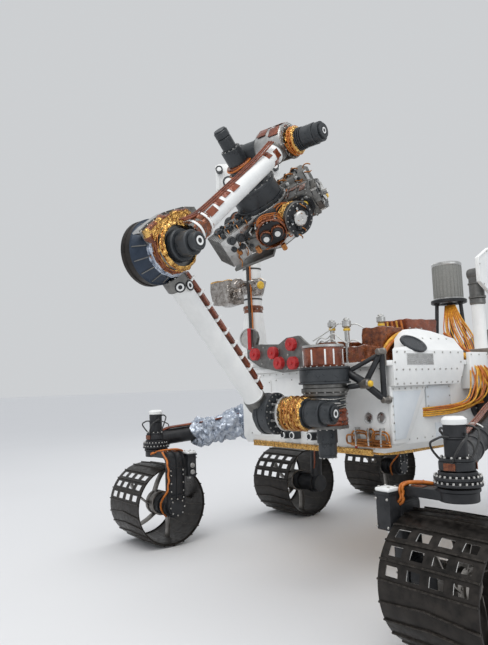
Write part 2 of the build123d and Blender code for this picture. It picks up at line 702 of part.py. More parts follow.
with BuildPart() as turret_drive:
    add(turned(TURRET, [(-222, -110, 38), (-110, -24, 54), (-24, 110, 70), (110, 229, 138)]))
    add(turned(across_arm(WRIST), [(251, 400, 80)]))
turret_drive.part.label = "turret_drive"
export_step(turret_drive.part, "parts/turret_drive.step")

# Turret frame: the hub, a six-sided plate with pockets, and the tray below
with BuildPart() as turret_frame:
    add(turned(TURRET, [(230, 262, 150), (262, 470, 108)]))
    with BuildSketch(TURRET.offset(296)):
        RegularPolygon(262, 6, rotation=5)
        with PolarLocations(180, 6, start_angle=5):
            RegularPolygon(40, 6, mode=Mode.SUBTRACT)
    extrude(amount=22)
    with BuildSketch(TURRET.offset(470)):
        with Locations((-110, 150)):
            Rectangle(250, 110, rotation=-18)
        RegularPolygon(100, 6)
    extrude(amount=16)
turret_frame.part.label = "turret_frame"
export_step(turret_frame.part, "parts/turret_frame.step")

# Drill: a long housing over the turret's upper edge, and the drill's own body with its eight-sided face
drill_plane = tool_plane(-20, 322)
with BuildPart() as turret_drill:
    add(tool_box(drill_plane, 100, 292, 150, 150))
    add(turned(drill_plane, [(292, 326, 90)], LIMB_FLATS))
    add(turned(drill_plane, [(326, 336, 46), (336, 356, 15)], REPEAT_FLATS))
    with BuildSketch(TURRET.offset(234)):
        with Locations((-6, -176)):
            Rectangle(430, 104, rotation=-52)
    extrude(amount=132)
    with BuildSketch(TURRET.offset(366)):
        with Locations((10, -200)):
            Rectangle(300, 70, rotation=-52)
    extrude(amount=36)
    add(turret_frame.part, mode=Mode.SUBTRACT)
turret_drill.part.label = "turret_drill"
export_step(turret_drill.part, "parts/turret_drill.step")

# Sampler with its round sieve face, and beside it the twin brush motors
sampler_plane = tool_plane(24, 322)
brush_plane = tool_plane(60, 300)
with BuildPart() as turret_sampler:
    add(turned(sampler_plane, [(100, 262, 78), (262, 290, 88), (290, 306, 40)], REPEAT_FLATS))
    add(tool_box(brush_plane, 100, 304, 118, 124, 14))
    for place in (-30, 34):
        lens_plane = brush_plane.shift_origin(brush_plane.from_local_coords(Vector(0, place + 14, 0)))
        add(turned(lens_plane, [(304, 346, 29)], REPEAT_FLATS))
    add(turret_frame.part, mode=Mode.SUBTRACT)
    add(turret_drill.part, mode=Mode.SUBTRACT)
turret_sampler.part.label = "turret_sampler"
export_step(turret_sampler.part, "parts/turret_sampler.step")

# Sensors: a ribbed box, and the round sensor heads on the far side
sensor_plane = tool_plane(122, 318)
with BuildPart() as turret_sensors:
    add(tool_box(sensor_plane, 105, 340, 156, 190))
    with BuildSketch(sensor_plane.offset(340)):
        with GridLocations(1, 34, 1, 5):
            Rectangle(110, 18)
    extrude(amount=-70, mode=Mode.SUBTRACT)
    add(turned(tool_plane(188, 330), [(105, 250, 66), (250, 330, 48)], REPEAT_FLATS))
    add(turned(tool_plane(235, 330), [(105, 220, 52), (220, 300, 40)], REPEAT_FLATS))
    add(turret_frame.part, mode=Mode.SUBTRACT)
    add(turret_drill.part, mode=Mode.SUBTRACT)
    add(turret_sampler.part, mode=Mode.SUBTRACT)
turret_sensors.part.label = "turret_sensors"
export_step(turret_sensors.part, "parts/turret_sensors.step")

# Mast with its flared foot
with BuildPart() as mast:
    with BuildSketch(Plane.XY.offset(DECK_Z)):
        with Locations((MAST_X - 60.0, MAST_Y + 100.0)):
            Rectangle(330.0, 288.0)
        chamfer(vertices(), 60.0)
    extrude(amount=12.0)
    for level, radius in ((DECK_Z + 12.0, MAST_FOOT_RADIUS), (1490.0, MAST_RADIUS)):
        with BuildSketch(Plane(origin=(MAST_X, MAST_Y, level))):
            RegularPolygon(radius, ROUND_FLATS)
    loft()
    add(turned(Plane(origin=(MAST_X, MAST_Y, 0)), [(1480.0, MAST_TOP_Z, MAST_RADIUS)]))
mast.part.label = "mast"
export_step(mast.part, "parts/mast.step")

# Boom box and weather booms on the mast
with BuildPart() as mast_booms:
    add(block((MAST_X - 70, MAST_Y - 330, 1560), (MAST_X + 90, MAST_Y - 150, 1710)))
    add(rod((MAST_X + 10, MAST_Y - 160, 1620), (MAST_X, MAST_Y - 50, 1620), 22))
    add(rod((MAST_X + 40, MAST_Y, 1650), (MAST_X + 190, MAST_Y + 60, 1650), 14))
    add(turned(Plane(origin=(MAST_X, MAST_Y, 0)), [(1590.0, 1672.0, MAST_RADIUS + 8)]))
    add(mast.part, mode=Mode.SUBTRACT)
mast_booms.part.label = "mast_booms"
export_step(mast_booms.part, "parts/mast_booms.step")

# Camera head: turns on the mast, and tilts between two ears
head_plane = Plane(origin=(MAST_X, MAST_Y, 0)).rotated((0, 0, HEAD_PAN))
tilt_plane = Plane(origin=(MAST_X, MAST_Y, HEAD_TILT_Z), x_dir=head_plane.x_dir, z_dir=head_plane.y_dir)
EAR_RADIUS = 32.0
EAR_INNER = 54.0
EAR_OUTER = 68.0
with BuildPart() as mast_neck:
    add(turned(head_plane, [(MAST_TOP_Z + JOINT_GAP, MAST_TOP_Z + 50.0, 70.0)]))
    for side in (1, -1):
        add(turned(tilt_plane, [(side * EAR_INNER, side * EAR_OUTER, EAR_RADIUS)], REPEAT_FLATS))
        with BuildSketch(head_plane.offset(MAST_TOP_Z + 40.0)):
            with Locations((0, side * (EAR_INNER + EAR_OUTER) / 2)):
                Rectangle(2 * EAR_RADIUS - 2.0, EAR_OUTER - EAR_INNER)
        extrude(amount=HEAD_TILT_Z - MAST_TOP_Z - 40.0)
mast_neck.part.label = "mast_neck"
export_step(mast_neck.part, "parts/mast_neck.step")

HEAD_LENGTH = 250.0
HEAD_WIDTH = 420.0
HEAD_HEIGHT = 185.0
HEAD_LIFT = 40.0
HEAD_FACE = HEAD_LENGTH / 2
LENSES = [
    # distance to the side, height above the tilt axis, radius, length
    (0.0, 150.0, 56.0, 26.0),
    (-122.0, 84.0, 34.0, 60.0),
    (122.0, 84.0, 30.0, 60.0),
    (-182.0, 180.0, 20.0, 34.0),
    (182.0, 180.0, 20.0, 34.0),
]
face_plane = Plane(origin=(MAST_X, MAST_Y, HEAD_TILT_Z), x_dir=head_plane.y_dir, z_dir=head_plane.x_dir)
with BuildPart() as mast_head:
    add(turned(tilt_plane, [(-EAR_INNER + 1.0, EAR_INNER - 1.0, EAR_RADIUS)], REPEAT_FLATS))
    with BuildSketch(head_plane.offset(HEAD_TILT_Z)):
        Rectangle(2 * EAR_RADIUS - 2.0, 2 * EAR_INNER - 2.0)
    extrude(amount=HEAD_LIFT)
    with BuildSketch(head_plane.offset(HEAD_TILT_Z + HEAD_LIFT)):
        Rectangle(HEAD_LENGTH, HEAD_WIDTH)
        chamfer(vertices(), 22.0)
    extrude(amount=HEAD_HEIGHT)
    for lens_side, height, radius, length in LENSES:
        with BuildSketch(face_plane.offset(HEAD_FACE)):
            with Locations((lens_side, height)):
                RegularPolygon(radius, REPEAT_FLATS)
        extrude(amount=length)
mast_head.part.label = "mast_head"
export_step(mast_head.part, "parts/mast_head.step")

# Relay antenna: a grey drum on a strut tower
with BuildPart() as relay_tower:
    tower_plane = Plane(origin=(ANTENNA_TOWER_X, ANTENNA_TOWER_Y, 0))
    add(turned(tower_plane, [(1530, 1556, 122), (DECK_Z, DECK_Z + 16, 150)]))
    for leg in range(3):
        foot = polar(120.0, 90 + 120 * leg)
        top = polar(90.0, 90 + 120 * leg)
        foot_point = (ANTENNA_TOWER_X + foot[0], ANTENNA_TOWER_Y + foot[1], DECK_Z + 8.0)
        top_point = (ANTENNA_TOWER_X + top[0], ANTENNA_TOWER_Y + top[1], 1540.0)
        add(rod(foot_point, top_point, 14.0))
relay_tower.part.label = "relay_tower"
export_step(relay_tower.part, "parts/relay_tower.step")

with BuildPart() as relay_antenna:
    add(turned(tower_plane, [(1556, 1806, 100), (1806, 1820, 92)]))
relay_antenna.part.label = "relay_antenna"
export_step(relay_antenna.part, "parts/relay_antenna.step")

# Steerable six-sided antenna
with BuildPart() as dish_base:
    add(turned(Plane(origin=(DISH_X, DISH_Y, 0)), [(DECK_Z, DECK_Z + 20, 80), (DECK_Z + 20, 1500, 40)]))
dish_base.part.label = "dish_base"
export_step(dish_base.part, "parts/dish_base.step")
dish_plane = Plane(origin=(DISH_X, DISH_Y, DISH_Z), z_dir=(0, 1, 0))
with BuildPart() as dish_yoke:
    add(turned(Plane(origin=(DISH_X, DISH_Y, 0)), [(1501, 1600, 52)]))
    add(block((DISH_X - 30, DISH_Y - 36, 1600), (DISH_X + 30, DISH_Y + 36, 1630)))
    add(turned(dish_plane, [(-46, 46, 38)], REPEAT_FLATS))
dish_yoke.part.label = "dish_yoke"
export_step(dish_yoke.part, "parts/dish_yoke.step")
with BuildPart() as dish:
    add(turned(dish_plane, [(47, 80, 38)], REPEAT_FLATS))
    with BuildSketch(dish_plane.offset(80)):
        RegularPolygon(150, 6)
    extrude(amount=26)
dish.part.label = "dish_panel"
export_step(dish.part, "parts/dish_panel.step")

# Differential bar across the deck with its drop links
LINK_Y = 668.0
with BuildPart() as differential:
    bar_x = MIDDLE_AXLE_X + 60.0
    add(turned(Plane(origin=(bar_x, 0, 0)), [(DECK_Z, DECK_Z + 30, 60)], REPEAT_FLATS))
    add(block((bar_x - 26, -LINK_Y - 22, DECK_Z + 30), (bar_x + 26, LINK_Y + 22, DECK_Z + 66)))
    for side in (1, -1):
        add(rod((bar_x, side * LINK_Y, DECK_Z + 40), (ROCKER_PIVOT[0], side * LINK_Y, 940), 14))
differential.part.label = "differential"
export_step(differential.part, "parts/differential.step")

# Power source: a finned cylinder leaning up to the rear, between two plates
FIN_COUNT = 8
FIN_START = 90.0
FIN_LENGTH = 520.0
power_plane = Plane(
    origin=(POWER_X, 0, POWER_Z),
    x_dir=(0, 1, 0),
    z_dir=(-cos(radians(POWER_TILT)), 0, sin(radians(POWER_TILT))),
)
with BuildPart() as power_source:
    add(turned(power_plane, [(0, 640, 136), (640, 662, 90)]))
    with BuildSketch(power_plane.offset(FIN_START)):
        with PolarLocations(0, FIN_COUNT):
            with Locations((220, 0)):
                Rectangle(200, 12)
    extrude(amount=FIN_LENGTH)
power_source.part.label = "power_source"
export_step(power_source.part, "parts/power_source.step")

HEAT_PLATE_Y = 400.0
with BuildPart() as heat_plates:
    for side in (1, -1):
        with BuildSketch(Plane.XZ.offset(-side * HEAT_PLATE_Y)):
            with BuildLine():
                Polyline(
                    (BODY_REAR_X, 700),
                    (BODY_REAR_X, 1060),
                    (BODY_REAR_X - 560, 1330),
                    (BODY_REAR_X - 640, 1100),
                    (BODY_REAR_X - 420, 800),
                    close=True,
                )
            make_face()
        extrude(amount=-side * 16)
heat_plates.part.label = "heat_plates"
export_step(heat_plates.part, "parts/heat_plates.step")

with BuildPart() as power_mount:
    add(block((BODY_REAR_X - 40, -260, 740), (BODY_REAR_X, 260, 1040)))
    add(turned(power_plane, [(-60, 0, 150)]))
    add(body.part, mode=Mode.SUBTRACT)
    add(deck.part, mode=Mode.SUBTRACT)
    add(power_source.part, mode=Mode.SUBTRACT)
power_mount.part.label = "power_mount"
export_step(power_mount.part, "parts/power_mount.step")

# Hazard cameras under the front and rear edges
CAMERA_LENGTH = 50.0
with BuildPart() as hazard_cameras:
    for face_x, forward in ((BODY_FRONT_X, 1), (BODY_REAR_X, -1)):
        for camera_y in (-150, -70, 70, 150):
            first = (min(face_x, face_x + forward * CAMERA_LENGTH), camera_y - 24, 696)
            last = (max(face_x, face_x + forward * CAMERA_LENGTH), camera_y + 24, 738)
            add(block(first, last))
hazard_cameras.part.label = "hazard_cameras"
export_step(hazard_cameras.part, "parts/hazard_cameras.step")

# Plate of covered check samples that stands on the deck's front edge, with a mesh tray beside it
SAMPLE_COVERS = [
    # place along Y and Z
    (-367.0, 1190.0),
    (-197.0, 1188.0),
    (-36.0, 1226.0),
    (-147.0, 1126.0),
    (-27.0, 1120.0),
]
COVER_RADIUS = 38.0
COVER_LENGTH = 26.0
TRAY_PLACE = (-421.0, 1292.0)
PLATE_THICKNESS = 22.0
plate_plane = Plane(origin=(DECK_FRONT_X, 0, 0), x_dir=(0, 1, 0), z_dir=(1, 0, 0))
with BuildPart() as sample_plate:
    with BuildSketch(plate_plane):
        with BuildLine():
            Polyline(
                (-462, 1172),
                (-462, 1232),
                (-380, 1252),
                (-160, 1236),
                (-90, 1268),
                (10, 1272),
                (100, 1204),
                (100, 1104),
                (-5, 1076),
                (-133, 1070),
                (-343, 1112),
                close=True,
            )
        make_face()
    extrude(amount=PLATE_THICKNESS)
    with BuildSketch(plate_plane.offset(PLATE_THICKNESS)):
        with Locations(*SAMPLE_COVERS):
            RegularPolygon(COVER_RADIUS, REPEAT_FLATS)
    extrude(amount=COVER_LENGTH)
    with BuildSketch(plate_plane):
        with Locations(TRAY_PLACE):
            RegularPolygon(62, REPEAT_FLATS)
    extrude(amount=PLATE_THICKNESS)
sample_plate.part.label = "sample_plate"
export_step(sample_plate.part, "parts/sample_plate.step")
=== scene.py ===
"""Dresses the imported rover: finishes, wheels, suspension, body, deck, mast, arm and turret, with
their wiring, foil, covers and fasteners. Tables give places and sizes in millimetres."""

import math

import bpy
from mathutils import Matrix, Vector


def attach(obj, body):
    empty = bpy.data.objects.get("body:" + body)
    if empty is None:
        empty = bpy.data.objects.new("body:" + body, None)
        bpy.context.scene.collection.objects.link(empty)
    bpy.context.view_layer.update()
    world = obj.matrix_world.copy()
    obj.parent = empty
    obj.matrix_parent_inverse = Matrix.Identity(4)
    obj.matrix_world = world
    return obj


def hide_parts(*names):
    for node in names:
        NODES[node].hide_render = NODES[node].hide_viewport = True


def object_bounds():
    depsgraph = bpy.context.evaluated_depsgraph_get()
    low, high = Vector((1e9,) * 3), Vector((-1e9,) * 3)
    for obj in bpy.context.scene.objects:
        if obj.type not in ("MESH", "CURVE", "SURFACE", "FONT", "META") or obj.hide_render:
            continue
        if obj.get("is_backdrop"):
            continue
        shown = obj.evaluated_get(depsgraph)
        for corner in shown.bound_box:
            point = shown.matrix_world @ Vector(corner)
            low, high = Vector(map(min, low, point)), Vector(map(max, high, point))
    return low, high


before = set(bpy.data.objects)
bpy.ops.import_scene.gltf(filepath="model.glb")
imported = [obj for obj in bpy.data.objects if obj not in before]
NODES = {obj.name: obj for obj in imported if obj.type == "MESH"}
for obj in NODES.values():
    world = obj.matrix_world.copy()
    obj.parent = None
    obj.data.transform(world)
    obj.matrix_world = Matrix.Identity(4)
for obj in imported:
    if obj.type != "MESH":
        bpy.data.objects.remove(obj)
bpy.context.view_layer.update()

MM = 0.001
X, Y, Z = Vector((1, 0, 0)), Vector((0, 1, 0)), Vector((0, 0, 1))


def mm(x, y, z):
    """A place of the rover."""
    return Vector((x, y, z)) * MM


def route(points):
    """Places of the rover along a lead."""
    return [mm(*point) for point in points]


def between(first, second, angle):
    """The way at an angle in degrees from one way towards another."""
    turn = math.radians(angle)
    return first * math.cos(turn) + second * math.sin(turn)


# Outer faces of the body, which most of its fittings start from
FRONT_X = 562
TAIL_X = -1038
SIDE_Y = 580
DECK_Z = 1100

# The arm's plane stands on its azimuth axis and is turned to the arm's heading
AZIMUTH_X, AZIMUTH_Y = 762, 360
AZIMUTH = mm(AZIMUTH_X, AZIMUTH_Y, 0)
REACH = between(X, Y, 12.0)
SIDE = between(-Y, X, 12.0)
SHOULDER = (150, 862)
ELBOW = (840, 1580)
WRIST = (90, 2230)

# The turret's axis, from its motor to its tools
TURRET_PLACE = (156.1, 2163.2)
TURRET_SIDE = 360
TURRET_Z = between(REACH, Z, 224.7)
TURRET_X = SIDE * -1
TURRET_Y = TURRET_Z.cross(TURRET_X)

# The mast's axis, and the way that its camera head looks
MAST = mm(466, -559, 0)
HEAD_X = between(X, Y, 50.0)
HEAD_Y = between(Y, -X, 50.0)
HEAD_TILT_Z = 2220
HEAD_FRONT = 125


def at_arm(reach, height, side):
    """A place on the arm, by reach, height and distance to starboard of its azimuth axis."""
    return AZIMUTH + (REACH * reach + Z * height + SIDE * side) * MM


def at_turret(x, y, along):
    """A place on the turret, by port side, forward side and depth along its axis."""
    offset = TURRET_X * x + TURRET_Y * y + TURRET_Z * along
    return at_arm(*TURRET_PLACE, TURRET_SIDE) + offset * MM


def at_head(forward, left, height):
    """A place on the camera head, from its tilt axis."""
    return MAST + (HEAD_X * forward + HEAD_Y * left + Z * (HEAD_TILT_Z + height)) * MM


def polar(radius, angle):
    """A flat place by distance and angle in degrees."""
    return (radius * math.cos(math.radians(angle)), radius * math.sin(math.radians(angle)))


def arc(radius, start, end, count):
    """Flat places along an arc."""
    return [polar(radius, start + (end - start) * i / count) for i in range(count + 1)]


# shaping tools


def choose(*pieces):
    """Selects only these pieces, the first of them active."""
    bpy.ops.object.select_all(action="DESELECT")
    for piece in pieces:
        piece.select_set(True)
    bpy.context.view_layer.objects.active = pieces[0]


def settle(piece):
    """Puts a piece's place, turn and size into its mesh."""
    choose(piece)
    bpy.ops.object.transform_apply(location=True, rotation=True, scale=True)


def pen_down(name, point):
    """Starts a piece as a single vertex at a place, in edit mode."""
    bpy.ops.object.select_all(action="DESELECT")
    bpy.ops.mesh.primitive_plane_add(size=0.01, location=point)
    piece = bpy.context.object
    piece.name = name
    bpy.ops.object.mode_set(mode="EDIT")
    bpy.ops.mesh.merge(type="CENTER")
    return piece


def draw(points):
    """Draws edges from point to point."""
    for here, there in zip(points, points[1:]):
        bpy.ops.mesh.extrude_vertices_move(TRANSFORM_OT_translate={"value": there - here})
    bpy.ops.mesh.select_all(action="SELECT")


def close_up():
    """Turns all faces outwards and leaves edit mode."""
    bpy.ops.mesh.select_all(action="SELECT")
    bpy.ops.mesh.normals_make_consistent(inside=False)
    bpy.ops.object.mode_set(mode="OBJECT")


def soften(piece, width, segments=2, angle=32.0):
    """Eases a piece's sharp edges and shades it smooth between them."""
    choose(piece)
    if width > 0:
        bevel = piece.modifiers.new("eased_edges", "BEVEL")
        bevel.width = width * MM
        bevel.segments = segments
        bevel.limit_method = "ANGLE"
        bevel.angle_limit = math.radians(angle)
        bpy.ops.object.modifier_apply(modifier=bevel.name)
    bpy.ops.object.shade_smooth_by_angle(angle=math.radians(angle))


def turned(name, origin, axis, profile, segments=44):
    """A turned piece: a profile of (distance along, radius) points spun about an axis."""
    axis = axis.normalized()
    across = axis.orthogonal().normalized()
    points = [origin + (axis * along + across * radius) * MM for along, radius in profile]
    piece = pen_down(name, points[0])
    draw(points)
    bpy.ops.mesh.spin(steps=segments, angle=2 * math.pi, center=origin, axis=axis)
    bpy.ops.mesh.select_all(action="SELECT")
    bpy.ops.mesh.remove_doubles(threshold=0.00002)
    close_up()
    settle(piece)
    soften(piece, 0)
    return piece


def stepped(steps, lip=2.0):
    """The profile of a stack of drums, each (low, high, radius), with every rim chamfered."""
    profile = [(steps[0][0], 0)]
    for low, high, radius in steps:
        profile += [
            (low, radius - lip), (low + lip, radius), (high - lip, radius), (high, radius - lip)
        ]
    return profile + [(steps[-1][1], 0)]


def plate(name, outline, origin, across, up, depth, edge=1.5):
    """A flat outline drawn in a plane and pulled out to its thickness."""
    points = [origin + (across * x + up * y) * MM for x, y in outline]
    piece = pen_down(name, points[0])
    draw(points)
    bpy.ops.mesh.edge_face_add()
    bpy.ops.mesh.extrude_region_move(
        TRANSFORM_OT_translate={"value": across.cross(up) * depth * MM}
    )
    close_up()
    settle(piece)
    soften(piece, edge)
    return piece


def case(name, low, high, edge=3.0, at=(Vector(), X, Y, Z)):
    """A box with eased edges between two corners, in a frame of its own."""
    origin, across, forward, up = at
    outline = [(low[0], low[1]), (high[0], low[1]), (high[0], high[1]), (low[0], high[1])]
    return plate(name, outline, origin + up * low[2] * MM, across, forward, high[2] - low[2], edge)


def choose_faces(piece, wanted):
    """Goes into edit mode with only the wanted faces selected."""
    choose(piece)
    bpy.ops.object.mode_set(mode="EDIT")
    bpy.ops.mesh.select_mode(type="FACE")
    bpy.ops.mesh.select_all(action="DESELECT")
    bpy.ops.object.mode_set(mode="OBJECT")
    for face in piece.data.polygons:
        face.select = wanted(face)
    bpy.ops.object.mode_set(mode="EDIT")


def recess(piece, way, margin, depth):
    """Sinks a panel into the widest faces that look one way."""
    widest = max(face.area for face in piece.data.polygons if face.normal.dot(way) > 0.95)
    choose_faces(piece, lambda face: face.normal.dot(way) > 0.95 and face.area > 0.5 * widest)
    bpy.ops.mesh.inset(thickness=margin * MM, depth=0)
    bpy.ops.mesh.inset(thickness=0.6 * MM, depth=-depth * MM)
    bpy.ops.mesh.select_mode(type="VERT")
    bpy.ops.object.mode_set(mode="OBJECT")
    soften(piece, 0)


def shown(name, data):
    """A new object of the scene."""
    thing = bpy.data.objects.new(name, data)
    bpy.context.scene.collection.objects.link(thing)
    return thing


def swept(name, kind, points, radius, rounding, resolution):
    """A round section swept along a curve through points."""
    line = bpy.data.curves.new(name, "CURVE")
    line.dimensions = "3D"
    strand = line.splines.new(kind)
    strand.points.add(len(points) - 1)
    for knot, point in zip(strand.points, points):
        knot.co = (*point, 1)
    strand.order_u = 3
    strand.use_endpoint_u = True
    line.bevel_depth = radius * MM
    line.bevel_resolution = rounding
    line.resolution_u = resolution
    line.use_fill_caps = True
    piece = shown(name, line)
    choose(piece)
    bpy.ops.object.convert(target="MESH")
    return piece


def cable(name, points, thickness, resolution=5):
    """A cable through control points."""
    piece = swept(name, "NURBS", points, thickness / 2, 2, resolution)
    soften(piece, 0, angle=50)
    return piece


def tube_run(name, points, radius):
    """A straight-sided tube with a mitre at each bend."""
    piece = swept(name, "POLY", points, radius, 7, 12)
    soften(piece, 2.0, angle=40)
    return piece


def copied(piece, name, matrix):
    """A copy of a piece with its own mesh, put elsewhere by a matrix."""
    other = shown(name, piece.data.copy())
    other.data.transform(matrix)
    if matrix.determinant() < 0:
        other.data.flip_normals()
    return other


def joined(name, pieces):
    """Joins pieces into one."""
    choose(*pieces)
    if len(pieces) > 1:
        bpy.ops.object.join()
    pieces[0].name = name
    return pieces[0]


def discard(piece):
    """Throws away a pattern piece once it has been copied."""
    bpy.data.objects.remove(piece)


def aimed(point, way):
    """The matrix that carries +Z at the origin to a way at a point."""
    return Matrix.Translation(point) @ way.to_track_quat("Z", "Y").to_matrix().to_4x4()


def spun(angle):
    """A turn about the wheels' axis, by an angle in degrees."""
    return Matrix.Rotation(math.radians(angle), 4, "Y")


def screws(name, places, radius, height, body):
    """Socket head screws at (point, way) places."""
    profile = [(-1, 0), (-1, radius), (height * 0.75, radius), (height, radius * 0.8)]
    profile += [(height, radius * 0.45), (height * 0.35, radius * 0.4), (height * 0.35, 0)]
    head = turned("screw_head", Vector(), Z, profile, 10)
    heads = [copied(head, name, aimed(point, way)) for point, way in places]
    discard(head)
    group(name, heads, body, "bare_metal", STEEL)


def ring_of(count, radius, origin, axis, start=0.0):
    """Places round an axis, all facing along it."""
    across = axis.orthogonal().normalized()
    upward = axis.cross(across)
    places = []
    for i in range(count):
        angle = start + 2 * math.pi * i / count
        offset = across * math.cos(angle) + upward * math.sin(angle)
        places.append((origin + offset * radius * MM, axis))
    return places


def band(half, inner, outer):
    """The profile of a plain ring, to both sides of its place."""
    return [(-half, inner), (-half, outer), (half, outer), (half, inner), (-half, inner)]


def dress(piece, body, slot, *finishes, stands_for=()):
    """Gives a piece its finishes, its body and the CAD nodes that it stands for."""
    piece.data.materials.clear()
    for finish in finishes:
        piece.data.materials.append(finish)
    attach(piece, body)
    if stands_for:
        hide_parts(*stands_for)
    return piece


def group(name, pieces, body, slot, *finishes, stands_for=()):
    """Joins pieces into one and dresses it."""
    return dress(joined(name, pieces), body, slot, *finishes, stands_for=stands_for)


def tint(piece, number, where):
    """Gives the faces whose middle is at a place another of the piece's finishes."""
    for face in piece.data.polygons:
        if where(face.center, face.normal):
            face.material_index = number


def merged(node, name, edge=2.0, angle=32.0, segments=2):
    """A copy of a CAD node with its triangles merged and its edges eased."""
    piece = copied(NODES[node], name, Matrix.Identity(4))
    choose(piece)
    bpy.ops.object.mode_set(mode="EDIT")
    bpy.ops.mesh.select_all(action="SELECT")
    bpy.ops.mesh.remove_doubles(threshold=0.00005)
    bpy.ops.mesh.dissolve_limited(angle_limit=math.radians(1.0))
    bpy.ops.object.mode_set(mode="OBJECT")
    soften(piece, edge, segments, angle)
    return piece


# A looped lead of the fittings: its share across the face, its rise and its height off it
FITTING_LOOP = ((0, 0, 0), (0.2, 0, 12), (0.5, 8, 17), (0.8, 14, 12), (1, 16, 0))
LOOP_SPAN = 46


def fittings(name, spot, width, height, count, body, turn=0, scale=1.0):
    """Lugs, dark plugs and looped leads over a face of a width and a height, in its own frame."""
    origin, across, up, out = spot
    lugs, plugs, loops = [], [], []
    for number in range(count):
        x = ((number + turn) * 0.618 % 1 - 0.5) * width
        y = ((number + turn) * 0.755 % 1 - 0.5) * height
        half, rise = scale * (5 + (number * 7) % 11), scale * (4 + (number * 5) % 13)
        if number % 3 == 0:
            profile = stepped([(-1, rise, half), (rise, rise + 7, half * 0.6)], 1.0)
            plugs.append(turned(name, origin + (across * x + up * y) * MM, out, profile, 16))
        elif number % 3 == 1:
            lugs.append(case(name, (x - half, y - 5, -1), (x + half, y + 7, rise), 1.5, spot))
        else:
            points = []
            for share, climb, lift in FITTING_LOOP:
                place = across * (x + LOOP_SPAN * share) + up * (y + climb) + out * lift
                points.append(origin + place * MM)
            loops.append(cable(name, points, 5 + number % 3, 3))
    group(f"{name}_lugs", lugs, body, "bare_metal", ALUMINIUM)
    group(f"{name}_plugs", plugs, body, "black_finish", SATIN_BLACK)
    group(f"{name}_loops", loops, body, "amber_film", COPPER)


def crumple(piece, cuts, strength, size):
    """Divides a foil or film surface and pushes it in and out."""
    choose(piece)
    bpy.ops.object.mode_set(mode="EDIT")
    bpy.ops.mesh.select_all(action="SELECT")
    bpy.ops.mesh.subdivide(number_cuts=cuts)
    bpy.ops.object.mode_set(mode="OBJECT")
    waves = bpy.data.textures.new(f"{piece.name}_folds", "VORONOI")
    waves.noise_scale = size * MM
    waves.distance_metric = "MANHATTAN"
    shift = piece.modifiers.new("folds", "DISPLACE")
    shift.texture = waves
    shift.texture_coords = "LOCAL"
    shift.strength = strength * MM
    bpy.ops.object.modifier_apply(modifier=shift.name)
    bpy.ops.object.shade_smooth_by_angle(angle=math.radians(40))


def patches(name, places, thickness=2.0):
    """Squares of tape, each by its place, outward way, long way, length and width."""
    pieces = []
    for place, way, along, length, width in places:
        along = (along - way * along.dot(way)).normalized()
        low, high = (-length / 2, -width / 2, 0), (length / 2, width / 2, thickness)
        pieces.append(case(name, low, high, 0.6, (place, along, way.cross(along), way)))
    return joined(name, pieces)


# finishes


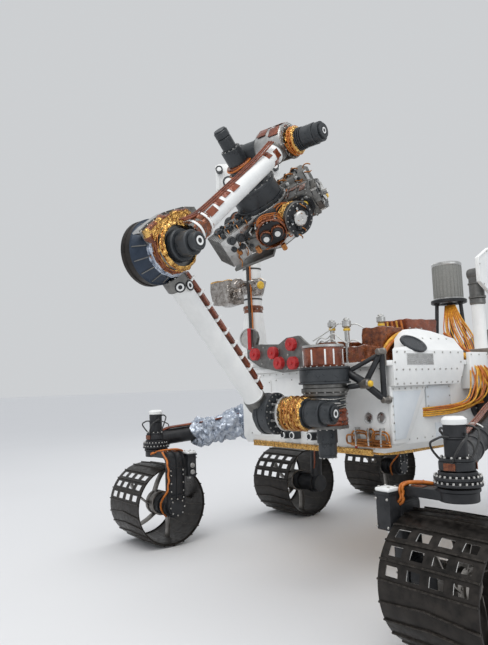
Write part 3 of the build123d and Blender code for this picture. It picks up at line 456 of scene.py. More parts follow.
class Finish:
    """A material in the making, with its shader and the place on the piece that it reads."""

    def __init__(self, name, roughness, metallic=0.0, coat=0.0):
        self.material = bpy.data.materials.new(name)
        self.material.use_nodes = True
        self.shader = self.material.node_tree.nodes["Principled BSDF"]
        self.set_inputs(
            self.shader, {"Roughness": roughness, "Metallic": metallic, "Coat Weight": coat}
        )
        self.place = self.add("TexCoord").outputs["Object"]

    def set_inputs(self, node, values):
        """Sets inputs of a node by their names."""
        for socket, value in values.items():
            node.inputs[socket].default_value = value

    def add(self, kind, **values):
        """A new node with its inputs set; an underscore stands for a space in their names."""
        node = self.material.node_tree.nodes.new(f"ShaderNode{kind}")
        self.set_inputs(node, {key.replace("_", " "): value for key, value in values.items()})
        return node

    def link(self, source, target):
        """Feeds one socket from another."""
        self.material.node_tree.links.new(source, target)

    def cloud(self, scale, detail, place=None):
        """A noise over the piece."""
        noise = self.add("TexNoise", Scale=scale, Detail=detail)
        self.link(self.place if place is None else place, noise.inputs["Vector"])
        return noise

    def mottle(self, dark, light, size, contrast, detail=7.0, roughness=0.62):
        """Colour that drifts between two tones."""
        noise = self.cloud(1000.0 / size, detail)
        self.set_inputs(noise, {"Roughness": roughness})
        tones = self.add("ValToRGB")
        for stop, share, tone in zip(tones.color_ramp.elements, (-0.5, 0.5), (dark, light)):
            stop.position = 0.5 + contrast * share
            stop.color = (*tone, 1)
        self.link(noise.outputs["Fac"], tones.inputs["Fac"])
        self.link(tones.outputs["Color"], self.shader.inputs["Base Color"])

    def wear(self, low, high, size):
        """Roughness that drifts, as where hands and cloths have been."""
        noise = self.cloud(1000.0 / size, 4.0)
        spread = self.add("MapRange", From_Min=0.35, From_Max=0.65, To_Min=low, To_Max=high)
        self.link(noise.outputs["Fac"], spread.inputs["Value"])
        self.link(spread.outputs["Result"], self.shader.inputs["Roughness"])

    def emboss(self, height, strength, distance):
        """Bumps the surface by a height."""
        bump = self.add("Bump", Strength=strength, Distance=distance)
        self.link(height, bump.inputs["Height"])
        self.link(bump.outputs["Normal"], self.shader.inputs["Normal"])

    def grain(self, size, strength, stretch=(1, 1, 1)):
        """A fine grain in the surface, drawn out along one way where it is machined."""
        turn = self.add("Mapping", Scale=stretch)
        self.link(self.place, turn.inputs["Vector"])
        noise = self.cloud(1000.0 / size, 3.0, turn.outputs["Vector"])
        self.emboss(noise.outputs["Fac"], strength, 0.0006)

    def crease(self, size, strength):
        """The sharp creases of a crumpled film."""
        wander = self.cloud(500.0 / size, 3.0)
        bend = self.add("VectorMath")
        bend.operation = "MULTIPLY_ADD"
        bend.inputs[1].default_value = (size * 0.0012,) * 3
        self.link(wander.outputs["Color"], bend.inputs[0])
        self.link(self.place, bend.inputs[2])
        folds = self.add("TexVoronoi", Scale=1000.0 / size, Detail=2.0)
        self.link(bend.outputs["Vector"], folds.inputs["Vector"])
        self.emboss(folds.outputs["Distance"], strength, size * 0.00035)

    def lay(self, size):
        """The lay of a cable's strands."""
        twist = self.add("TexWave", Scale=1000.0 / size, Distortion=1.5)
        twist.bands_direction = "DIAGONAL"
        self.link(self.place, twist.inputs["Vector"])
        self.emboss(twist.outputs["Fac"], 0.5, 0.0008)


def painted(name, dark, light, roughness, size=90):
    """Paint with a faint orange peel."""
    finish = Finish(name, roughness)
    finish.mottle(dark, light, size, 0.5)
    finish.wear(roughness - 0.08, roughness + 0.1, size * 0.6)
    finish.grain(1.2, 0.08)
    return finish.material


def anodised(name, dark, light, roughness, metallic=0.35, size=60, stretch=(1, 1, 1)):
    """Dark anodised metal with handling marks."""
    finish = Finish(name, roughness, metallic)
    finish.mottle(dark, light, size, 0.35)
    finish.wear(roughness - 0.1, roughness + 0.14, size * 0.5)
    finish.grain(0.8, 0.1, stretch)
    return finish.material


def machined(name, dark, light, roughness, stretch=(6, 1, 1)):
    """Bare metal with tool marks."""
    finish = Finish(name, roughness, 1.0)
    finish.mottle(dark, light, 26, 0.6)
    finish.wear(roughness - 0.1, roughness + 0.16, 34)
    finish.grain(1.6, 0.16, stretch)
    return finish.material


def film(name, dark, light, roughness, metallic, size, strength, coat=0.3):
    """Crinkled film or foil."""
    finish = Finish(name, roughness, metallic, coat)
    finish.set_inputs(finish.shader, {"Coat Roughness": 0.12})
    finish.mottle(dark, light, size * 1.4, 0.4)
    finish.crease(size, strength)
    return finish.material


def sheathed(name, dark, light, lay):
    """Cable sheath with the lay of its strands."""
    finish = Finish(name, 0.42, 0.0, 0.15)
    finish.mottle(dark, light, 22, 0.5)
    finish.lay(lay)
    return finish.material


WHITE_PAINT = painted("white_thermal_paint", (0.70, 0.71, 0.70), (0.80, 0.80, 0.78), 0.46)
BLUE_WHITE = painted("cheek_thermal_paint", (0.62, 0.66, 0.69), (0.72, 0.75, 0.77), 0.4)
GREY_PAINT = painted("grey_radome_paint", (0.16, 0.16, 0.15), (0.27, 0.27, 0.25), 0.55, size=8)
BLACK = anodised("black_anodised", (0.012, 0.013, 0.015), (0.034, 0.035, 0.038), 0.42)
SATIN_BLACK = anodised("satin_black_can", (0.026, 0.030, 0.034), (0.052, 0.057, 0.062), 0.36, 0.25)
WHEEL_METAL = anodised(
    "scuffed_drum_metal", (0.010, 0.009, 0.008), (0.040, 0.034, 0.030), 0.4, 0.65, 45, (1, 5, 1)
)
# The bars are the drum's metal in a lighter tone: painted highlight on the bars, over mottled wear
BAR_METAL_PAINTED_HIGHLIGHT = anodised("worn_bar_metal_with_painted_highlight", (0.018, 0.016, 0.014), (0.075, 0.066, 0.058), 0.38, 0.8, 14)
CUT_EDGE = machined("bright_cut_edge", (0.50, 0.49, 0.47), (0.78, 0.77, 0.75), 0.3)
STEEL = machined("screw_steel", (0.42, 0.41, 0.39), (0.68, 0.67, 0.64), 0.32)
ALUMINIUM = machined("machined_aluminium", (0.42, 0.42, 0.41), (0.66, 0.66, 0.65), 0.34)
TITANIUM = machined("titanium", (0.20, 0.185, 0.17), (0.36, 0.34, 0.315), 0.4, (1, 1, 5))
HARDCOAT = machined("grey_hard_coat", (0.13, 0.13, 0.125), (0.26, 0.255, 0.245), 0.42)
AMBER_FILM = film("amber_film", (0.06, 0.013, 0.006), (0.30, 0.085, 0.022), 0.18, 0.35, 20, 0.5)
BROWN_FILM = film("brown_tape", (0.10, 0.022, 0.010), (0.27, 0.066, 0.024), 0.24, 0.25, 44, 0.35)
GOLD_FOIL = film("gold_foil", (0.45, 0.22, 0.05), (0.95, 0.60, 0.20), 0.2, 1.0, 18, 1.0, 0.0)
SILVER_FOIL = film("silver_film", (0.16, 0.13, 0.11), (0.58, 0.55, 0.52), 0.2, 1.0, 22, 0.5, 0.0)
CLEAR_FILM = film(
    "clear_blue_film", (0.20, 0.25, 0.34), (0.66, 0.71, 0.78), 0.12, 0.5, 16, 0.45, 0.6
)
GOLD_SHEATH = sheathed("gold_sheath", (0.40, 0.16, 0.006), (0.90, 0.47, 0.035), 5)
NAVY = anodised("navy_drum", (0.012, 0.022, 0.040), (0.030, 0.046, 0.074), 0.38, 0.3)
ORANGE_SHEATH = sheathed("orange_cable_sheath", (0.32, 0.07, 0.006), (0.66, 0.20, 0.018), 7)
BLACK_SHEATH = sheathed("black_cable_sheath", (0.012, 0.012, 0.012), (0.04, 0.04, 0.04), 6)
WHITE_SHEATH = sheathed("white_cable_sheath", (0.55, 0.55, 0.52), (0.78, 0.78, 0.75), 6)
COPPER = machined("copper_pipe", (0.26, 0.09, 0.03), (0.60, 0.28, 0.10), 0.3)
RED_COVER = painted("red_cover", (0.36, 0.012, 0.016), (0.56, 0.03, 0.03), 0.42, 30)
YELLOW_CAP = painted("yellow_cap", (0.62, 0.36, 0.02), (0.82, 0.54, 0.05), 0.4, 20)
GLASS = anodised("dark_glass", (0.004, 0.005, 0.008), (0.012, 0.014, 0.02), 0.2, 0.0, 60)

# wheels

AXLE_Z = 255.46
TRACK = 1145
FRONT_WHEEL_X, MIDDLE_WHEEL_X, REAR_WHEEL_X = 882, -338, -1378
WHEELS = (
    # name, place along X, side, steered
    ("front_left", FRONT_WHEEL_X, 1, True),
    ("front_right", FRONT_WHEEL_X, -1, True),
    ("middle_left", MIDDLE_WHEEL_X, 1, False),
    ("middle_right", MIDDLE_WHEEL_X, -1, False),
    ("rear_left", REAR_WHEEL_X, 1, True),
    ("rear_right", REAR_WHEEL_X, -1, True),
)
DRUM_RADIUS = 248.6
DRUM_HALF = 200
CROWNING = 3.6
BARS = 22
BAR_TURN = 360.0 / BARS
WINDOW_ROWS = (6.5, 7.5, 8.5)
WINDOW_MIDDLES = (-138, -46, 46, 138)
WINDOW_HALF = 27
STRAIGHT_BARS = (6, 7, 8, 9, 10)
SPOKES = 5
SPOKE_HALF = 3.5


def crown(y):
    """The drum's radius at a place across its width."""
    return DRUM_RADIUS - CROWNING * (y / DRUM_HALF) ** 2


def drum_skin():
    """The thin drum with its lips turned in and three rows of windows."""
    edges = [middle + side for middle in WINDOW_MIDDLES for side in (-WINDOW_HALF, WINDOW_HALF)]
    profile = [(-192, 234), (-DRUM_HALF, 237)]
    profile += [(y, crown(y)) for y in (-DRUM_HALF, -196, *edges, 196, DRUM_HALF)]
    profile += [(DRUM_HALF, 237), (192, 234)]
    skin = turned("drum_skin", Vector(), Y, profile, 8 * BARS)

    def is_window(face):
        place = face.center / MM
        bar = (math.degrees(math.atan2(place.z, place.x)) + 90.0) / BAR_TURN
        in_row = any(abs(bar - row) < 0.25 for row in WINDOW_ROWS)
        in_width = any(abs(place.y - middle) < 20 for middle in WINDOW_MIDDLES)
        return in_row and in_width and place.xz.length > 240

    choose_faces(skin, is_window)
    bpy.ops.mesh.delete(type="FACE")
    bpy.ops.mesh.select_mode(type="VERT")
    close_up()
    skin.data.materials.append(WHEEL_METAL)
    skin.data.materials.append(CUT_EDGE)
    wall = skin.modifiers.new("wall", "SOLIDIFY")
    wall.thickness = 3.6 * MM
    wall.offset = -1
    wall.material_offset_rim = 1
    bpy.ops.object.modifier_apply(modifier=wall.name)
    for face in skin.data.polygons:
        if abs(face.center.y) > 190 * MM:
            face.material_index = 0
    bpy.ops.object.shade_smooth_by_angle(angle=math.radians(30))
    return skin


def traction_bar(name, rise):
    """One raised bar on the floor side, bent in the middle to a shallow chevron."""

    def middle(y):
        return rise * (1 - 2 * abs(y) / DRUM_HALF)

    near = [(y, middle(y) - 5.0) for y in range(-DRUM_HALF, DRUM_HALF + 1, 50)]
    far = [(y, along + 10.0) for y, along in reversed(near)]
    bar = plate(name, near + far, mm(0, 0, -246.5), Y, X, 9.0, 0)
    for corner in bar.data.vertices:
        x, y, z = (part / MM for part in corner.co)
        sink = DRUM_RADIUS - crown(y)
        if z < -250:
            corner.co.x = (middle(y) + 0.62 * (x - middle(y))) * MM
            corner.co.z = (z + sink) * MM
        else:
            corner.co.z = (-244.0 + sink) * MM
    choose(bar)
    bpy.ops.object.mode_set(mode="EDIT")
    close_up()
    soften(bar, 0.8, 1)
    bar.data.materials.append(BAR_METAL_PAINTED_HIGHLIGHT)
    return bar


def spoke():
    """A curved flat spring from the hub to the drum."""
    near, far = [], []
    for step in range(13):
        share = step / 12
        angle = math.radians(38.0 * share**0.6)
        x, y = (72 + 174 * share) * math.cos(angle), (72 + 174 * share) * math.sin(angle)
        off_x, off_y = SPOKE_HALF * math.sin(angle), SPOKE_HALF * math.cos(angle)
        near.append((x + off_x, y - off_y))
        far.append((x - off_x, y + off_y))
    return plate("wheel_spoke", near + far[::-1], mm(0, 28, 0), X, Z, 56, 1.0)


def hub():
    """The turned hub, its spokes and their bolts."""
    profile = [(-70, 0), (-70, 60), (-64, 78), (-30, 78), (-26, 72), (-6, 72), (-2, 78), (18, 78)]
    profile += [(24, 70), (24, 52), (34, 52), (40, 44), (40, 20), (32, 18), (32, 0)]
    parts = [turned("hub", Vector(), Y, profile, 48)]
    spring = spoke()
    for number in range(SPOKES):
        parts.append(copied(spring, "hub_spoke", spun(-72 * number)))
    discard(spring)
    head = turned("hub_bolt", Vector(), Z, [(-1, 0), (-1, 5), (5, 5), (6, 3), (3, 2.4), (3, 0)], 10)
    for point, way in ring_of(10, 62, mm(0, 24, 0), Y):
        parts.append(copied(head, "hub_bolt", aimed(point, way)))
    discard(head)
    return joined("hub", parts)


chevron_bar = traction_bar("chevron_bar", 10.0)
straight_bar = traction_bar("straight_bar", 0.0)
drum_parts = [drum_skin()]
for number in range(BARS):
    bar = straight_bar if number in STRAIGHT_BARS else chevron_bar
    drum_parts.append(copied(bar, "traction_bar", spun(-number * BAR_TURN)))
discard(chevron_bar)
discard(straight_bar)
drum_pattern = joined("drum_pattern", drum_parts)
hub_pattern = hub()
for name, wheel_x, side, steered in WHEELS:
    place = Matrix.Translation(mm(wheel_x, side * TRACK, AXLE_Z))
    drum = copied(drum_pattern, f"drum_{name}", place)
    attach(drum, f"wheel_{name}")
    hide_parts(f"wheel_drum_{name}")
    middle = copied(hub_pattern, f"hub_{name}", place @ Matrix.Scale(side, 4, Y))
    dress(middle, f"wheel_{name}", "titanium", TITANIUM, stands_for=[f"wheel_hub_{name}"])
discard(drum_pattern)
discard(hub_pattern)

# knuckles

STEER_TOP = 350.5
DRIVE_CAN = [
    (-266, -258, 48), (-258, -222, 60), (-222, -196, 70), (-196, -130, 64), (-130, -71, 70)
]
RIB = [
    (-262, 40), (-262, 250), (-240, 300), (-200, 336), (-190, 346), (-250, 340), (-270, 296),
    (-270, 60)
]
BOX_PLUG = [(-2, 0), (-2, 15), (6, 15), (8, 12), (14, 12), (14, 0)]
# Leads about the wheel's centre, two over the plate and one up the leg: thickness, then places
KNUCKLE_LEADS = (
    (
        14, (-70, -60, 326), (-40, -110, 344), (10, -160, 351), (46, -186, 353), (70, -196, 346),
        (78, -198, 332), (71, -197, 318), (79, -198, 304), (72, -197, 292), (76, -200, 280),
        (80, -214, 272)
    ),
    (
        9, (-80, -70, 322), (-52, -130, 344), (-4, -176, 353), (40, -196, 354), (62, -206, 350),
        (86, -200, 343), (90, -200, 322), (84, -199, 304), (90, -200, 288), (90, -214, 280)
    ),
    (
        13, (-20, -150, -70), (-62, -170, -36), (-78, -180, 20), (-74, -226, 70), (-66, -266, 110),
        (-72, -271, 140), (-60, -273, 172), (-71, -272, 204), (-60, -271, 236), (-71, -267, 266),
        (-62, -258, 292), (-71, -238, 318), (-66, -200, 342)
    ),
)


def knuckle():
    """Steering disc, fork leg and drive can, about the wheel's centre."""
    steps = [(STEER_TOP - 50, STEER_TOP - 14, 72), (STEER_TOP - 14, STEER_TOP, 78)]
    disc = turned("steer_disc", Vector(), Z, stepped(steps))
    outline = [(20, STEER_TOP - 10)]
    outline += [(-192 + y, STEER_TOP - 80 + z) for y, z in arc(70, 90, 180, 8)]
    outline += [(-262, 30), (-252, 0), (-226, 0), (-222, 30), (-222, STEER_TOP - 84)]
    outline += [(-192 + y, STEER_TOP - 80 + z) for y, z in arc(34, 180, 90, 6)]
    outline += [(20, STEER_TOP - 48)]
    leg = plate("fork_leg", outline, mm(-62, 0, 0), Y, Z, 124, 3.0)
    ribs = [plate("leg_rib", RIB, mm(x - 3, 0, 0), Y, Z, 6, 1.0) for x in (-52, 0, 52)]
    ribs += [case("leg_rib", (-52, -268, z), (52, -261, z + 6), 1.0) for z in (70, 240)]
    can = turned("drive_can", Vector(), Y, stepped(DRIVE_CAN))
    return joined("knuckle", [disc, leg, can] + ribs)


def knuckle_trim(name, body, place):
    """The connector box with its lid and plugs, the leads and the bolts of one knuckle."""
    box = [case("drive_box", (78, -276, 178), (142, -208, 322), 6.0)]
    box.append(case("box_flange", (74, -280, 312), (146, -206, 322), 1.5))
    lid = case("box_lid", (76, -278, 322), (144, -207, 338), 7.0)
    plugs = []
    for x, y, z, way in ((104, -244, 178, -Z), (104, -284, 210, -Y), (104, -284, 252, -Y)):
        plugs.append(turned("box_plug", mm(x, y, z), way, BOX_PLUG, 20))
    bolts = [(mm(x, -267, z), -Y) for x in (-44, 44) for z in (58, 100, 150, 200, 228)]
    bolts += [(mm(x, y, 338), Z) for x in (90, 130) for y in (-266, -220)]
    bolts += [(mm(142, y, z), X) for y in (-272, -218) for z in (192, 296)]
    bolts += [(mm(*polar(50, angle), 0).xzy + mm(0, -266, 0), -Y) for angle in range(0, 360, 45)]
    bolts += [(mm(x, -180, STEER_TOP - 10), Z) for x in (-48, -16, 16, 48)]
    bolts = [(place @ point, place.to_3x3() @ way) for point, way in bolts]
    screws(f"{name}_bolts", bolts, 5, 5, body)
    leads = []
    for thickness, *points in KNUCKLE_LEADS:
        leads.append(cable("drive_lead", [place @ point for point in route(points)], thickness))
    wraps = []
    for x in (-58, 20):
        low, high = (x, -206, STEER_TOP - 11), (x + 30, -120, STEER_TOP - 6)
        wraps.append(case("plate_tape", low, high, 1.5))
    for piece in (*box, lid, *wraps, *plugs):
        piece.data.transform(place)
    group(f"{name}_box", box, body, "black_finish", BLACK)
    group(f"{name}_lid", [lid], body, "white_paint", WHITE_PAINT)
    group(f"{name}_plugs", plugs, body, "bare_metal", ALUMINIUM)
    group(f"{name}_tape", wraps, body, "amber_film", AMBER_FILM)
    group(f"{name}_leads", leads, body, "amber_film", ORANGE_SHEATH)


knuckle_pattern = knuckle()
for name, wheel_x, side, steered in WHEELS:
    if steered:
        turn = Matrix.Rotation(0 if side > 0 else math.pi, 4, "Z")
        place = Matrix.Translation(mm(wheel_x, side * TRACK, AXLE_Z)) @ turn
        fork = copied(knuckle_pattern, f"fork_{name}", place)
        dress(fork, f"steer_{name}", "black_finish", BLACK, stands_for=[f"knuckle_{name}"])
        knuckle_trim(f"fork_{name}", f"steer_{name}", place)
discard(knuckle_pattern)

# suspension

ROCKER_PIVOT = (-218, 770, 860)
ROCKER_KNEE = (512, 980, 715)
ROCKER_TAIL = (-818, 770, 740)
BOGIE_PIVOT = (-818, 880, 740)
BOGIE_KNEE = (-998, 890, 720)
MIDDLE_KNEE = (-338, 870, 600)
LIMB_FOOT_Z = 672
STUD_Z = 712

MOTOR_STEPS = [
    (612, 624, 88), (624, 634, 80), (634, 646, 87), (646, 664, 70), (664, 668, 60), (668, 700, 66),
    (700, STUD_Z, 62), (STUD_Z, 780, 42), (780, 786, 45), (786, 833, 42)
]
MOTOR_CAP = [(833, 0), (833, 44), (838, 46), (852, 46), (862, 34), (862, 0)]
# Lead loops of a steering motor: start angle, reach and height
MOTOR_LOOPS = ((20, 98, 790), (80, 92, 816), (150, 100, 772), (215, 94, 806), (290, 96, 780))
# Collars on a rocker: the corners of the limb that they stand between, and their share of the way
COLLARS = ((0, 1, 0.16), (0, 1, 0.86), (1, 2, 0.12), (1, 2, 0.86), (2, 3, 0.2), (2, 3, 0.78))
ROCKER_BOSS = [
    (SIDE_Y, 610, 92), (610, 700, 74), (700, 724, 84), (724, 816, 74), (816, 830, 66),
    (830, 842, 50)
]
MIDDLE_DRIVE = [(840, 876, 62), (876, 930, 70), (930, 1030, 62), (1030, 1074, 70)]
ROCKER_LEAD = [
    (-150, 760, 925), (0, 800, 888), (160, 850, 858), (330, 905, 815), (500, 960, 782),
    (640, 1010, 762), (760, 1060, 748), (820, 1092, 742), (850, 1118, 722)
]
BOGIE_LEAD = [
    (-260, 770, 922), (-420, 770, 888), (-600, 770, 850), (-760, 790, 826), (-880, 850, 802),
    (-1000, 900, 778), (-1150, 1000, 752), (-1290, 1090, 738), (-1345, 1120, 722)
]
MIDDLE_LEAD = [
    (-800, 900, 810), (-640, 882, 740), (-480, 876, 690), (-370, 868, 656), (-300, 850, 600),
    (-296, 848, 480), (-300, 860, 360), (-320, 900, 330)
]
# Straps round a rocker: place and way
LEAD_TIES = (
    ((160, 858, 800), (730, 210, -145)), ((420, 936, 748), (730, 210, -145)),
    ((-500, 770, 740), (-600, 0, -120))
)


def steering_motor(name, wheel_x, side):
    """The bolted flanges, gearbox, motor can, cap and lead loops over a steered wheel."""
    foot = mm(wheel_x, side * TRACK, 0)
    can = turned(name, foot, Z, stepped(MOTOR_STEPS))
    dress(can, "chassis", "black_finish", BLACK)
    cap = turned(f"{name}_cap", foot, Z, MOTOR_CAP)
    dress(cap, "chassis", "white_paint", WHITE_PAINT)
    studs = ring_of(24, 81, foot + Z * 646 * MM, Z) + ring_of(24, 84, foot + Z * 624 * MM, Z, 0.13)
    studs += ring_of(12, 55, foot + Z * STUD_Z * MM, Z)
    screws(f"{name}_studs", studs, 4.5, 7, "chassis")
    loops = []
    for number, (start, reach, high) in enumerate(MOTOR_LOOPS):
        points = []
        for share, rise, spread in (
            (0, 700, 0.60), (0.15, 730, 0.86), (0.4, high - 12, 1.0),
            (0.6, high, 0.86), (0.8, high + 14, 0.6), (1, high + 8, 0.42),
        ):
            points.append(foot + mm(*polar(reach * spread, start + 70 * share), rise))
        loops.append(cable("motor_lead", points, 10 - number % 3))
    group(f"{name}_leads", loops, "chassis", "black_finish", BLACK_SHEATH)
    wraps = []
    for angle in (10, 130, 250):
        out = Vector((*polar(1, angle), 0))
        wraps.append((foot + out * 66 * MM + Z * 0.684, out, Z.cross(out), 44, 26))
    dress(patches(f"{name}_tape", wraps, 3), "chassis", "amber_film", AMBER_FILM)


for hand, side in (("left", 1), ("right", -1)):
    flip = Vector((1, side, 1))
    outwards = Y * side
    corners = ((FRONT_WHEEL_X, TRACK, LIMB_FOOT_Z), ROCKER_KNEE, ROCKER_PIVOT, ROCKER_TAIL)
    rocker = [mm(*corner) * flip for corner in corners]
    parts = [tube_run(f"rocker_limb_{hand}", rocker, 52)]
    parts.append(turned("rocker_pivot", mm(-218, 0, 860), outwards, stepped(ROCKER_BOSS)))
    boss = stepped([(712, 736, 70), (736, 822, 66)])
    parts.append(turned("bogie_pivot", mm(-818, 0, 740), outwards, boss))
    for start, end, share in COLLARS:
        way = (rocker[end] - rocker[start]).normalized()
        middle = rocker[start].lerp(rocker[end], share)
        collar = [(-22, 50), (-20, 56), (20, 56), (22, 50)]
        parts.append(turned("limb_collar", middle, way, collar))
    name = f"rocker_limb_{hand}"
    group(name, parts, "chassis", "black_finish", BLACK, stands_for=[f"rocker_{hand}"])
    steering_motor(f"steer_motor_front_{hand}", FRONT_WHEEL_X, side)
    bolts = ring_of(12, 64, mm(-218, side * 830, 860), outwards)
    bolts += ring_of(12, 82, mm(-218, side * 610, 860), outwards)
    screws(f"rocker_bolts_{hand}", bolts, 5, 5, "chassis")

    corners = [(REAR_WHEEL_X, TRACK, LIMB_FOOT_Z), BOGIE_KNEE, BOGIE_PIVOT, MIDDLE_KNEE]
    corners.append((MIDDLE_WHEEL_X, 885, AXLE_Z))
    parts = [tube_run(f"bogie_limb_{hand}", [mm(*corner) * flip for corner in corners], 44)]
    boss = stepped([(823, 840, 68), (840, 920, 60), (920, 936, 50)])
    parts.append(turned("bogie_boss", mm(-818, 0, 740), outwards, boss))
    hinge = mm(MIDDLE_WHEEL_X, 0, AXLE_Z)
    parts.append(turned("middle_drive", hinge, outwards, stepped(MIDDLE_DRIVE)))
    name = f"bogie_limb_{hand}"
    group(name, parts, "chassis", "black_finish", BLACK, stands_for=[f"bogie_{hand}"])
    steering_motor(f"steer_motor_rear_{hand}", REAR_WHEEL_X, side)
    bolts = ring_of(10, 42, mm(-818, side * 936, 740), outwards)
    screws(f"bogie_bolts_{hand}", bolts, 5, 5, "chassis")

    leads = []
    for shift, thickness in ((0, 14), (13, 11), (-13, 10)):
        lead = [mm(x, side * (y + shift), z + abs(shift) * 0.2) for x, y, z in ROCKER_LEAD]
        leads.append(cable("rocker_lead", lead, thickness))
    leads.append(cable("bogie_lead", [point * flip for point in route(BOGIE_LEAD)], 14))
    leads.append(cable("middle_lead", [point * flip for point in route(MIDDLE_LEAD)], 13))
    group(f"suspension_leads_{hand}", leads, "chassis", "amber_film", BROWN_FILM)
    ties = []
    for place, way in LEAD_TIES:
        ties.append(turned("lead_tie", mm(*place) * flip, mm(*way) * flip, band(5, 53, 56)))
    group(f"limb_straps_{hand}", ties, "chassis", "white_paint", WHITE_SHEATH)

# Loose clear film over the starboard rocker's knee, towards its pivot and towards its foot
knee = mm(512, -980, 715)
films = []
for far, last_share, swell in ((mm(-218, -770, 860), 0.55, 48), (mm(882, -1145, 672), 0.36, 30)):
    way = (far - knee).normalized()
    length = (far - knee).length / MM
    profile = [(-20, 50)]
    for number in range(13):
        bulge = swell * math.sin(math.pi * number / 12) * (0.6 + 0.4 * math.sin(number * 2.3))
        profile.append((length * (last_share * number / 12), 62 + bulge))
    profile.append((length * last_share + 8, 52))
    films.append(turned("rocker_film", knee, way, profile, 26))
film_over = joined("rocker_film", films)
crumple(film_over, 3, 42.0, 60)
dress(film_over, "chassis", "gold_film", CLEAR_FILM)

# body and deck

body = merged("body", "body_shell", 3.0)
dress(body, "chassis", "white_paint", WHITE_PAINT, stands_for=["body"])
deck = merged("deck", "deck_plate", 2.0)
dress(deck, "chassis", "white_paint", WHITE_PAINT, stands_for=["deck"])
belly = merged("belly_pan", "belly_foil", 2.0)
crumple(belly, 10, 5.0, 60)
dress(belly, "chassis", "gold_film", GOLD_FOIL, stands_for=["belly_pan"])

# Rows of rivets along the body's and the deck's edges
rivets = []
for y in range(-540, 541, 60):
    rivets.append((mm(FRONT_X, y, 1062), X))
    rivets.append((mm(TAIL_X, y, 1062), -X))
    if abs(y) < 500:
        rivets.append((mm(FRONT_X, y, 672), X))
for x in range(-1010, 540, 62):
    for side in (1, -1):
        rivets.append((mm(x, SIDE_Y * side, 1058), Y * side))
        rivets.append((mm(x, SIDE_Y * side, 712), Y * side))
        rivets.append((mm(x, 606 * side, DECK_Z), Z))
for y in range(-580, 581, 58):
    rivets.append((mm(568, y, DECK_Z), Z))
    rivets.append((mm(-1044, y, DECK_Z), Z))
screws("body_rivets", rivets, 4, 2.5, "chassis")

# Seams and shallow doublers on the body's sides and tail
# Each has its low corner and its size
SIDE_DOUBLERS = (
    (-840, 800, 300, 190), (-480, 940, 240, 100), (-560, 690, 420, 60), (40, 690, 160, 90)
)
TAIL_DOUBLERS = ((-520, 760, 200, 240), (330, 760, 190, 240))
doublers = []
for side in (1, -1):
    frame_of_side = (mm(0, SIDE_Y * side, 0), X * side * -1, Z, Y * side)
    for x, z, length, height in SIDE_DOUBLERS:
        low_x, high_x = sorted((-side * x, -side * (x + length)))
        low, high = (low_x, z, 0), (high_x, z + height, 3)
        doublers.append(case("side_doubler", low, high, 1.2, frame_of_side))
for y, z, width, height in TAIL_DOUBLERS:
    low, high = (y, z, 0), (y + width, z + height, 3)
    doublers.append(case("tail_doubler", low, high, 1.2, (mm(TAIL_X, 0, 0), -Y, Z, -X)))
group("body_doublers", doublers, "chassis", "white_paint", BLUE_WHITE)

# Front panel: a gold strip at its foot, two round ports, pipe loops with clips and raised doublers
strip = case("front_foil_strip", (561, -470, 640), (573, 470, 668), 3)
crumple(strip, 6, 5.0, 20)
dress(strip, "chassis", "gold_film", GOLD_FOIL)
ports = []
for y, z in ((456, 822), (538, 824)):
    profile = [(0, 0), (0, 27), (5, 27), (7, 22), (7, 16), (3, 14), (3, 0)]
    ports.append(turned("front_port", mm(FRONT_X, y, z), X, profile, 32))
group("front_ports", ports, "chassis", "bare_metal", ALUMINIUM)
# Pipe loops: middle, half width and half height
PIPE_LOOPS = (
    (536, 726, 54, 34), (536, 726, 40, 21), (412, 726, 56, 35), (412, 726, 42, 22),
    (476, 704, 122, 12), (476, 694, 128, 8), (474, 744, 24, 26), (350, 716, 34, 22)
)
ROUNDNESS = 0.6
loops = []
for number, (y, z, wide, high) in enumerate(PIPE_LOOPS):
    points = []
    for angle in range(-20, 335, 22):
        level, rise = polar(1, angle)
        x = 579 + 4 * (number % 3) + 3 * math.sin(angle / 35)
        level = math.copysign(abs(level) ** ROUNDNESS, level)
        rise = math.copysign(abs(rise) ** ROUNDNESS, rise)
        points.append(mm(x, y + wide * level, z + high * rise))
    loops.append(cable("pipe_loop", points, 10))
group("front_pipes", loops, "chassis", "amber_film", COPPER)
clips = [case("pipe_clip", (FRONT_X, y - 5, 684), (594, y + 5, 776), 2) for y in (388, 470, 548)]
group("pipe_clips", clips, "chassis", "bare_metal", ALUMINIUM)
# Doublers on the front panel: low corner and size, along Y and Z
FRONT_DOUBLERS = ((-500, 210, 700, 330), (-250, 300, 790, 250), (80, 110, 760, 280))
SCREW_INSET = 12
panels, front_screws = [], []
for y, width, z, height in FRONT_DOUBLERS:
    low, high = (y, z, 0), (y + width, z + height, 4)
    panels.append(case("front_doubler", low, high, 1.5, (mm(FRONT_X, 0, 0), Y, Z, X)))
    levels = (SCREW_INSET, height - SCREW_INSET)
    spots = [(across, up) for up in levels for across in (SCREW_INSET, width - SCREW_INSET)]
    for across, up in spots + [(width / 2, up) for up in levels]:
        front_screws.append((mm(566, y + across, z + up), X))
group("front_doublers", panels, "chassis", "white_paint", WHITE_PAINT)
screws("front_screws", front_screws, 4.5, 3, "chassis")

